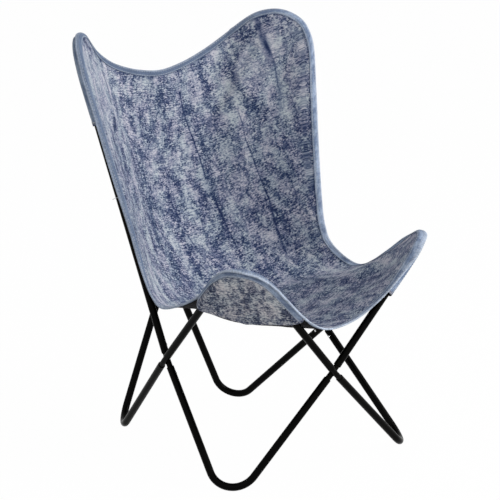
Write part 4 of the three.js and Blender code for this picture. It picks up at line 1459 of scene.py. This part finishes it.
@dataclass
class Thread:
    """Rows of sewn stitches, gathered into one mesh."""

    length: float = 4.6 * MM
    gap: float = 1.9 * MM
    radius: float = 0.5 * MM
    rings: int = 6
    sides: int = 6
    thin: float = 0.12  # the least share of a stitch's section, at its ends
    bow_steps: int = 8
    bow_fall: float = 0.35
    stitches: list[Array] = field(default_factory=list)

    def template(self) -> Array:
        """One stitch, by place along it, across it and above the cloth, which its thinner ends dive into."""
        along = np.linspace(-1, 1, self.rings)[:, None]
        turn = circle(self.sides)
        thick = np.sqrt(np.clip(1 - along**6, self.thin, 1))
        x = np.broadcast_to(along * self.length / 2, (self.rings, self.sides))
        y = self.radius * thick * np.cos(turn)
        z = self.radius * (0.5 - 1.1 * along**4 + thick * np.sin(turn))
        return np.stack([x, y, z], axis=-1).reshape(-1, 3)

    def sew(self, line: Array, normal: Array) -> None:
        """Sews a row of stitches.

        Args:
            line: points along the cloth.
            normal: the cloth's normal at each of them.
        """
        length = lengths(line)
        count = int(length[-1] // (self.length + self.gap))
        at = (np.arange(count) + 0.5) * length[-1] / max(count, 1)
        way = self._pick(line, length, at + self.length / 2) - self._pick(line, length, at - self.length / 2)
        self._lay(self._pick(line, length, at), unit(way), unit(self._pick(normal, length, at)))

    def loose_end(self, start: Array, out: Array, down: Array, reach: float) -> None:
        """A thread's end that hangs off the cloth: stitches end to end on a bow that falls as t squared."""
        t = np.linspace(0, 1, self.bow_steps + 1)[:, None] * reach
        bow = start + t * out + t**2 / reach * self.bow_fall * down
        way = unit(np.diff(bow, axis=0))
        self._lay((bow[:-1] + bow[1:]) / 2, way, unit(np.cross(way, np.cross(down, way))))

    def _lay(self, centre: Array, way: Array, up: Array) -> None:
        """Puts a stitch at each centre, along one way and standing up another."""
        axes = np.stack([way, np.cross(up, way), up], axis=1)
        self.stitches.append(centre[:, None] + np.einsum("vk,nkc->nvc", self.template(), axes))

    @staticmethod
    def _pick(values: Array, length: Array, where: Array) -> Array:
        """Values at given lengths along a line."""
        return np.stack([np.interp(where, length, column) for column in values.T], axis=-1)

    def build(self, name: str) -> Piece:
        """One mesh of all the stitches."""
        points = np.concatenate(self.stitches)
        last = (self.rings - 1) * self.sides
        ends = np.array([[0, 1, 2, 3], [3, 4, 5, 0]])
        faces = np.concatenate([quads(self.rings, self.sides, wrap_columns=True), ends, last + ends[:, ::-1]])
        first = np.arange(len(points))[:, None, None] * points.shape[1]
        return make_piece(name, points, (first + faces).reshape(-1, 4))


@dataclass
class Panel:
    """The sling's canvas panel, slightly rippled lengthwise, with a fold round each back pocket."""

    shape: SlingPlan
    stations: int = 560
    columns: tuple = (15, 39)  # points across the edge's band, and from there to the middle line
    canvas: float = 1.6 * MM
    ripple: float = 0.55 * MM
    ripple_start: tuple = (2.5, 5.0)  # columns of the net between which it sets in
    swaying: tuple = (71, 1.7, 9)  # radians a metre across, and the sway of its crests along the cloth
    swaying_zone: tuple = (0.3, 0.32)
    slanted: tuple = (0.6, 43, 11)  # share of the ripple, and radians a metre across and along
    fold_line: tuple = (
        (0.339, -0.035), (0.246, -0.012), (0.211, 0.023), (0.202, 0.072), (0.245, 0.144), (0.33, 0.227),
    )
    fold_height: float = 5 * MM
    fold_width: float = 16 * MM
    fold_points: int = 90
    fold_start: tuple = (10 * MM, 34 * MM)  # depths in from the edge between which it rises
    fold_middle: tuple = (0.4, 0.5)  # the share of its line where it is highest, and its spread
    strip_edge: tuple = (-2 * MM, 6 * MM)  # the strip outside the fold: where it sets in and where it ends
    strip_reach: tuple = (40 * MM, 130 * MM)
    # strength of the painted highlight on the fold's crest and of the painted shade in its valley
    fold_painted_light: float = 0.8
    crest_width: float = 5 * MM
    valley_width: float = 14 * MM

    def build(self) -> Piece:
        """The panel: rows of points from its edge to its middle line."""
        deep = len(self.shape.edge_steps) - 1
        columns = np.concatenate([
            np.linspace(0, deep, self.columns[0])[:-1],
            np.linspace(deep, deep + len(self.shape.inner_shares), self.columns[1]),
        ])
        around = self.shape.around(self.stations)
        points, flat = self.shape.surface(around, columns), self.shape.surface(around, columns, flat=True)
        depth = np.interp(columns, np.arange(deep + 1), self.shape.edge_steps)
        fold, rubbed = self._corner_fold(flat)
        raised = self.ripple * self._waves(flat) * ease(columns, *self.ripple_start)
        raised = raised + fold * ease(depth, *self.fold_start)
        points = points + self.shape.normals(points) * raised[..., None]
        rows, width = points.shape[:2]
        facing = -np.arange(rows) % rows
        points[:, -1] = (points[:, -1] + points[facing, -1]) / 2
        made = make_piece("panel_cloth", points, quads(rows, width, wrap_rows=True))
        store(made, "cloth", flat[..., 0], flat[..., 1], depth)
        # the wear attribute carries the fold's painted highlight and painted shade as well as rubbed wear
        store(made, "wear", rubbed, 0, 0)
        merge(made)
        flip_to(made, SITTER)
        thicken(made, self.canvas)
        return made

    def _waves(self, flat: Array) -> Array:
        """Waves down the back, sin(ax + b sin cy) in a zone of y, and slanted ones all over, d sin(ex - fy)."""
        x, y = flat[..., 0], flat[..., 1]
        a, b, c = self.swaying
        d, e, f = self.slanted
        return np.sin(x * a + b * np.sin(y * c)) * bell(y, *self.swaying_zone) + d * np.sin(x * e - y * f)

    def _corner_fold(self, flat: Array) -> tuple[Array, Array]:
        """The fold round each back pocket.

        Its height is h exp(-d / w) at a distance d from its line, and less at the line's ends.

        Args:
            flat: the points' flat measures.

        Returns:
            The height, and how much paler the cloth is painted: a painted highlight on the fold's crest, rubbed
            wear with painted light on the strip outside it, and painted shade, darker than elsewhere, in the
            valley inside it.
        """
        line = Spline(np.array(self.fold_line))
        knots = line.at(line.by_length(self.fold_points))
        place = np.stack([np.abs(flat[..., 0]), flat[..., 1]], axis=-1).reshape(-1, 1, 2)
        away = np.linalg.norm(place - knots, axis=-1)
        near = np.argmin(away, axis=1)
        share = near / (len(knots) - 1)
        far, middle = away.min(axis=1), bell(share, *self.fold_middle)
        height = self.fold_height * np.exp(-far / self.fold_width) * middle
        strip = ease(place[:, 0, 0] - knots[near, 0], *self.strip_edge) * (1 - ease(far, *self.strip_reach))
        crest, valley = bell(far, 0, self.crest_width), bell(far, self.valley_width, self.valley_width)
        # stored as wear: the strip's rubbed wear and painted light, the crest's painted highlight, the valley's
        # painted shade
        rubbed = (strip + self.fold_painted_light * crest - self.fold_painted_light * (1 - strip) * valley) * middle
        return height.reshape(flat.shape[:2]), rubbed.reshape(flat.shape[:2])


@dataclass
class EdgeTape:
    """The tape that is folded round the panel's edge, and its stitches."""

    shape: SlingPlan
    thread: Thread
    stations: int = 900
    width: float = 12.5 * MM
    under: float = 7 * MM
    low: float = 0.9 * MM  # heights of its two faces off the middle of the cloth
    high: float = 1.65 * MM
    steps: tuple = (15, 9, 6)  # points across its top, round its fold and across its back
    rounding: tuple = (0.1 * MM, 0.35 * MM, 0.3 * MM)  # of its inner edges: out, down and up
    puff: float = 0.18 * MM
    slope: float = 3 * MM  # how far in from the edge its way out is measured
    joins: tuple = ((Side.LEFT, 18.2), (Side.RIGHT, 9.75), (Side.LEFT, 8.35))  # side, and span of the edge
    join_lift: float = 0.45 * MM
    join_half: float = 10 * MM
    join_fade: float = 2 * MM
    stitch_rows: tuple = (0.8, 0.16)  # shares of its width
    loose_reach: float = 13 * MM
    top_dye: tuple = (2, 4)  # spans of the edge over which the dye of the top ends
    left_dye: float = 0.8
    left_dye_end: tuple = (11, 13)

    def build(self) -> Piece:
        """The tape: its section carried round the cloth's edge, thicker where its ends join, and sewn down."""
        shape, rows = self.shape, self.shape.around(self.stations)
        depth, height, across = self._section()
        deep = np.maximum(depth, 0)
        order = np.unique(np.concatenate([deep, [self.slope]]))
        base = shape.surface(rows, shape.columns(order))
        normal = shape.normals(base)
        pick = np.searchsorted(order, deep)
        edge, inside = base[:, 0], base[:, np.searchsorted(order, self.slope)]
        out = unit(edge - inside)[:, None]
        length = lengths(edge)
        outer = np.sign(height) * (np.abs(height) > self.low)
        lift = self._second_layer(rows, length)[:, None] * self.join_lift * outer
        points = base[:, pick] + normal[:, pick] * (height + lift)[..., None]
        points = points + out * np.maximum(-depth, 0)[:, None]
        made = make_piece("edge_binding", points, quads(len(rows), len(depth), True, True), closed=True)
        loop = np.interp(rows, np.arange(len(shape.loop)), shape.loop)
        index = np.minimum(loop, 2 * shape.spans - loop)
        left = self.left_dye * (loop > shape.spans)
        dyed = np.maximum(1 - ease(index, *self.top_dye), left * (1 - ease(index, *self.left_dye_end)))
        store(made, "tape", length[:, None], across, dyed[:, None])
        for at in self.stitch_rows:
            sewn = shape.surface(rows, shape.columns([0, at * self.width, self.width]))
            up = shape.normals(sewn)[:, 1]
            line = sewn[:, 1] + up * self.high
            self.thread.sew(np.concatenate([line, line[:1]]), np.concatenate([up, up[:1]]))
        end = np.argmin(np.abs(loop - shape.round_edge(*self.joins[-1])))
        self.thread.loose_end(edge[end], out[end, 0], np.array([0, 0, -1.0]), self.loose_reach)
        return made

    def _section(self) -> tuple[Array, Array, Array]:
        """The tape's section, from its upper inner edge round the fold and back inside.

        Returns:
            The depth in from the cloth's edge, the height off the cloth, and the place across the tape, from 0
            at the fold to 1 at the inner edges.
        """
        width, low, high = self.width, self.low, self.high
        out, down, up = self.rounding
        top_steps, fold_steps, back_steps = self.steps
        top = np.linspace(width, 0, top_steps)
        share = top / width
        puff = self.puff * (bell(share, 0.9, 0.1) + bell(share, 0.06, 0.12) - bell(share, 0.74, 0.1))
        fold = np.linspace(np.pi / 2, -np.pi / 2, fold_steps)[1:-1]
        back, inside = (np.linspace(0, end, back_steps) for end in (self.under, width))
        level = np.ones(back_steps)
        depth = np.concatenate([
            [width + out], top, -high * np.cos(fold), back, [self.under], back[::-1], [0], inside,
        ])
        height = np.concatenate([
            [high - down], high + puff, high * np.sin(fold), -high * level, [-high + up],
            -low * level, [0], low * level,
        ])
        return depth, height, np.clip(depth / width, 0, 1)

    def _second_layer(self, rows: Array, length: Array) -> Array:
        """How much of a second layer lies on the tape, where one length of it ends over the next."""
        total = np.zeros(len(rows))
        for side, span in self.joins:
            middle = np.interp(self.shape.stations(self.shape.round_edge(side, span)), rows, length)
            total += ease(self.join_half - np.abs(length - middle), 0, self.join_fade)
        return total


@dataclass
class CornerPocket:
    """A pocket: from under the tape round the outside of a top corner's bend, and flat across behind it."""

    shape: SlingPlan
    thread: Thread
    corner: Corner
    side: Side
    tape_width: float
    front_spans: tuple = (12, 18)  # the part of the edge that a pocket hangs from
    back_spans: tuple = (2, 7)
    left_overhang: float = 0.2  # spans by which the left front pocket runs on
    back_end_margin: float = 20 * MM  # from a tube's axis out to the rim, on a back corner's middle run
    stations: int = 110
    columns: tuple = (25, 16)  # points round the bend, and from there to the pocket's middle
    shares: tuple = (1, 0.8, 0.55, 0.28, 0)
    canvas: float = 1.4 * MM
    drop: float = 1.9 * MM
    inset: float = 2 * MM
    ride: float = 9.2 * MM
    hem: float = 11 * MM
    hem_lift: float = 0.55 * MM
    hem_slope: float = 1.5 * MM
    hem_row: int = 4  # stations from the mouth to its stitches
    facing_off: float = 1.2 * MM
    facing_canvas: float = 0.8 * MM
    facing_steps: int = 8
    facing_ends: int = 6  # stations over which the facing rises from the pocket
    facing_dye: float = 0.3

    def __post_init__(self) -> None:
        """Finds the pocket's name and its bend."""
        self.name = f"{self.corner.value}_{self.side.name.lower()}"
        self.bend = self.shape.plan.top(self.corner, self.side)

    def build(self) -> tuple[Piece, Piece]:
        """The pocket's sheet, with a turned hem along its mouth, and the tape over its rim."""
        bend, (net, length) = self.bend, self._net()
        places = Spline(net[:, 0]).by_length(self.stations)
        deep = len(self.shares) - 1
        columns = np.concatenate([
            np.linspace(0, deep, self.columns[0])[:-1], np.linspace(deep, net.shape[1] - 1, self.columns[1]),
        ])
        points = through(net, places, columns)
        spread = np.interp(places, np.arange(len(length)), length)
        ends = np.where(places < places[-1] / 2, length[0], length[-1])
        to_mouth = (ends - spread)[:, None]
        normal = unit(np.cross(np.gradient(points, axis=0), np.gradient(points, axis=1)))
        normal = normal * -np.sign(inner(normal, bend.normal).mean())
        turned = 1 - ease(to_mouth, self.hem - self.hem_slope, self.hem + self.hem_slope)
        points = points + normal * (self.hem_lift * turned)[..., None]
        away = points - bend.centre
        made = make_piece("pocket_cloth_" + self.name, points, quads(*points.shape[:2]))
        store(made, "cloth", inner(away, bend.across), inner(away, bend.tip), to_mouth)
        merge(made)
        flip_to(made, SITTER, away=True)
        thicken(made, self.canvas)
        for at in (self.hem_row, len(points) - 1 - self.hem_row):
            self.thread.sew(points[at] + normal[at] * self.canvas / 2, normal[at])
        return made, self._facing(points, normal)

    def _net(self) -> tuple[Array, Array]:
        """The pocket's net: columns from points on its rim to its middle.

        Returns:
            The points, and how far down a straight run each column starts.
        """
        shape, bend = self.shape, self.bend
        first, last = self.front_spans if self.corner is Corner.FRONT else self.back_spans
        if self.corner is Corner.FRONT and self.side is Side.LEFT:
            last += self.left_overhang
        half = shape.loop[: len(shape.loop) // 2 + 1]
        spans = np.array([first, *(s for s in half if first < s < last), last])[::-1]
        rows = shape.stations(shape.round_edge(self.side, spans))
        band = shape.surface(np.arange(len(shape.loop)), shape.columns([0, self.inset, 2 * self.inset]))
        rim = Spline(band[:, 1] - shape.normals(band)[:, 1] * self.drop, closed=True).at(rows)
        spot = bend.locate(rim)
        run = [(Run.SIDE if s else Run.MIDDLE) if r else None for s, r in zip(spot.on_side, spot.on_run)]
        spots = list(zip(run, np.maximum(spot.length, 0), spot.share, spot.margin, spot.height))
        if self.corner is Corner.BACK:
            margin, height = self.back_end_margin, shape.ride / 2
            spots += [(Run.MIDDLE, shape.pocket_back * k, 0, margin, height) for k in (0.5, 1)]
        length = np.array([each[1] if each[0] else 0.0 for each in spots])
        ends = {spots[at][0]: length[at] for at in (0, -1)}
        total = sum(ends.values())
        middles = [here * total / 2 / ends.get(each[0], 1) for each, here in zip(spots, length)]
        return np.stack([self._column(*each, to) for each, to in zip(spots, middles)]), length

    def _column(
        self, run: Run | None, length: float, share: float, margin: float, height: float, middle: float
    ) -> Array:
        """One column of the net.

        A point at share s of it lies s of the rim's margin out from the tube's axis, at height
        rim - (ride + rim) sqrt(1 - s^4), and the column then runs on to the pocket's middle.

        Args:
            run: the straight run that it is beside, or None beside the bend.
            length: how far down that run it starts.
            share: the share of the bend at which it starts.
            margin: how far out from the tube's axis the rim is.
            height: how far towards the sitter the rim is.
            middle: how far down the corner the column ends.

        Returns:
            Its points.
        """
        bend, shares = self.bend, np.array(self.shares, float)
        level = height - (self.ride + height) * np.sqrt(1 - shares**4)
        if run:
            column = bend.by_run(run, np.full(len(shares), length), margin * shares, level)
        else:
            column = bend.by_bend(np.full(len(shares), share), margin * shares, level)
        spine = bend.centre - bend.normal * self.ride
        spine = spine + bend.tip * (middle * inner(bend.along[run], bend.tip) if run else 0)
        return np.concatenate([column, [(column[-1] + spine) / 2, spine]])

    def _facing(self, points: Array, normal: Array) -> Piece:
        """The tape's outer half over the rim: the pocket's first millimetres once more, set off from it."""
        steps = np.linalg.norm(np.diff(points, axis=1), axis=-1)
        reach = np.concatenate([np.zeros((len(points), 1)), np.cumsum(steps, axis=1)], axis=1)
        across = np.linspace(0, 1, self.facing_steps + 1)
        passed = (reach[:, None] < across[:, None] * self.tape_width).sum(axis=-1)
        after = np.clip(passed, 1, reach.shape[1] - 1)
        row = np.arange(len(points))[:, None]
        low, high = reach[row, after - 1], reach[row, after]
        share = ((across * self.tape_width - low) / (high - low))[..., None]
        band = blend(points[row, after - 1], points[row, after], share)
        out = unit(blend(normal[row, after - 1], normal[row, after], share))
        ends = ease(np.minimum(row, len(row) - 1 - row), 0, self.facing_ends)[..., None]
        band = band + out * self.facing_off * ends
        made = make_piece("tape_facing_" + self.name, band, quads(*band.shape[:2]))
        store(made, "tape", lengths(band[:, 0])[:, None], across, self.facing_dye)
        flip_to(made, SITTER, away=True)
        thicken(made, self.facing_canvas)
        self.thread.sew(band[:, -2] + out[:, -2] * self.facing_canvas / 2, out[:, -2])
        return made


@dataclass
class Sling:
    """The sling's pieces: panel, edge tape, corner pockets and stitches."""

    shape: SlingPlan
    thread: Thread = field(default_factory=Thread)
    panel_seed: float = 6.7
    # painted shade along crease lines of the cloth; the one of strength -0.26 is a painted highlight
    crease_shades: tuple = (
        CreaseShade((0.266, -0.11), (0.28, 0.06), 0.5, 14 * MM), CreaseShade((0.274, -0.01), (0.298, 0.16), 0.5, 6 * MM),
        CreaseShade((0.183, 0.13), (0.207, 0.28), 0.46), CreaseShade((0.205, 0.25), (0.216, 0.4), 0.46),
        CreaseShade((0.216, 0.37), (0.198, 0.54), 0.42, 6 * MM), CreaseShade((0.045, 0.03), (0.09, 0.285), 0.46),
        CreaseShade((-0.036, 0.07), (-0.004, 0.29), 0.3), CreaseShade((-0.198, 0.04), (0.019, 0.036), -0.26),
        CreaseShade((0.095, 0.29), (0.11, 0.47), 0.38, 4 * MM), CreaseShade((-0.02, 0.28), (0.026, 0.45), 0.34, 4 * MM),
    )
    pocket_seeds: dict[Side, float] = field(default_factory=lambda: {Side.LEFT: 31.7, Side.RIGHT: 47.3})
    pocket_teal: tuple = (0.96, 1.0, 1.04)
    pocket_contrast: float = 1.15

    def build(self) -> None:
        """Builds and dresses every piece of the sling."""
        # the canvas reverse is painted near black as shade
        reverse = PaintedShadeReverse().material()
        panel = Panel(self.shape).build()
        canvas = WashedCanvas("washed_canvas", seed=self.panel_seed, crease_shades=self.crease_shades).material()
        dress(panel, CHAIR, "sling_panel", "canvas", canvas, reverse)
        binding = EdgeTape(self.shape, self.thread)
        tape, cotton = binding.build(), BindingTape().material()
        dress(tape, CHAIR, "edge_tape", "tape", cotton)
        for corner in Corner:
            for side in Side:
                made = CornerPocket(self.shape, self.thread, corner, side, binding.width)
                pocket, facing = made.build()
                canvas = WashedCanvas(
                    "pocket_canvas_" + made.name, self.pocket_seeds[side], GREY_SHADES,
                    teal=self.pocket_teal, contrast=self.pocket_contrast,
                ).material()
                dress(pocket, CHAIR, "corner_pocket_" + made.name, "pocket_canvas", canvas, reverse)
                dress(facing, CHAIR, None, "tape", cotton)
        stitches = self.thread.build("sewn_stitches")
        dress(stitches, CHAIR, None, "tape", SewingThread().material())


# Studio


@dataclass(frozen=True)
class Studio:
    """Camera, soft lamps, pale floor and white background."""

    target: Array = field(default_factory=lambda: point(0.4, -7.8, 428.6) + ORIGIN_SHIFT)
    azimuth: float = -39.2
    elevation: float = 14.6
    distance: float = 5.030
    focal: float = 167.72
    sensor: float = 36.0
    clip: tuple = (0.1, 60)
    ambient: float = 0.4
    aim_height: float = 0.4
    lamps: tuple = (  # name, place, size and power
        ("key_softbox", (2.3, -2.9, 2.4), 2.2, 122),
        ("top_softbox", (0.3, -0.6, 3.4), 2.4, 16),
        ("fill_softbox", (-2.9, -1.6, 1.5), 1.6, 6),
    )
    floor_half: float = 30.0
    floor_drop: float = 0.2 * MM
    floor_spots: tuple = (0.4, 0.4, 0)
    floor_tones: tuple = ((0.84, 0.84, 0.84, 1), (0.86, 0.86, 0.86, 1))
    floor_white: float = 0.985  # the share of plain white that a camera sees in the floor

    def build(self) -> None:
        """Sets up the whole studio."""
        self.camera()
        for lamp in self.lamps:
            self.lamp(*lamp)
        self.floor()
        self.world()
        bpy.context.scene.view_settings.view_transform = "Standard"

    def camera(self) -> None:
        """A long lens at the photograph's viewing angle."""
        a, e = math.radians(self.azimuth), math.radians(self.elevation)
        back = Vector((math.sin(a) * math.cos(e), -math.cos(a) * math.cos(e), math.sin(e)))
        data = bpy.data.cameras.new("photo_camera")
        data.lens, data.sensor_width = self.focal, self.sensor
        data.clip_start, data.clip_end = self.clip
        bpy.context.scene.camera = self._put(data, Vector(self.target) + back * self.distance, -back)

    def lamp(self, name: str, place: tuple[float, float, float], size: float, power: float) -> None:
        """A square soft lamp aimed at the sling."""
        data = bpy.data.lights.new(name, "AREA")
        data.energy, data.shape, data.size = power, "SQUARE", size
        self._put(data, Vector(place), Vector((0, 0, self.aim_height)) - Vector(place))

    @staticmethod
    def _put(data: bpy.types.ID, place: Vector, aim: Vector) -> Piece:
        """Puts a camera or lamp at a place, turned to look along its aim."""
        made = bpy.data.objects.new(data.name, data)
        made.location = place
        made.rotation_mode = "QUATERNION"
        made.rotation_quaternion = aim.to_track_quat("-Z", "Y")
        bpy.context.scene.collection.objects.link(made)
        return made

    def floor(self) -> None:
        """A pale floor that shows white but for the chair's own shadow."""
        half, low = self.floor_half, -self.floor_drop
        corners = np.array([[-half, -half, low], [half, -half, low], [half, half, low], [-half, half, low]])
        made = make_piece("studio_floor", corners, [[0, 1, 2, 3]])
        graph = Graph.of("pale_floor")
        tone = graph.noise(graph.object_place(), self.floor_spots, 2.0, 2)
        paint = graph.node("ShaderNodeBsdfDiffuse", {}, {"Color": graph.mix(tone, *self.floor_tones)})
        white = graph.node("ShaderNodeEmission", {}, {"Color": (1, 1, 1, 1), "Strength": 1.0})
        share = self._seen(graph) * self.floor_white
        shown = graph.node("ShaderNodeMixShader", {}, {0: share, 1: paint, 2: white})
        graph.node("ShaderNodeOutputMaterial", {}, {"Surface": shown})
        made.data.materials.append(graph.owner)

    @staticmethod
    def _seen(graph: Graph) -> Wire:
        """1 for rays from the camera or a mirror or through glass, 0 for the rest."""
        path = graph.node("ShaderNodeLightPath").socket.node
        kinds = ("Is Camera Ray", "Is Glossy Ray", "Is Transmission Ray")
        camera, glossy, through_glass = (Wire(graph, path.outputs[kind]) for kind in kinds)
        return graph.node("ShaderNodeClamp", {}, {"Value": camera + glossy + through_glass})

    def world(self) -> None:
        """A white surround for what sees it, and a plain soft light for the rest."""
        world = bpy.data.worlds.new("white_surround")
        bpy.context.scene.world = world
        graph = Graph(world)
        strength = self.ambient + self._seen(graph) * (1 - self.ambient)
        light = graph.node("ShaderNodeBackground", {}, {"Color": (1, 1, 1, 1), "Strength": strength})
        graph.node("ShaderNodeOutputWorld", {}, {"Surface": light})


def main() -> None:
    """Builds the chair's pieces and the studio, in order."""
    logging.basicConfig(level=logging.INFO, format="%(name)s: %(message)s")
    plan = FramePlan()
    TubeFrame(plan).build()
    Sling(SlingPlan(plan)).build()
    Studio().build()


if __name__ == "__main__":
    main()
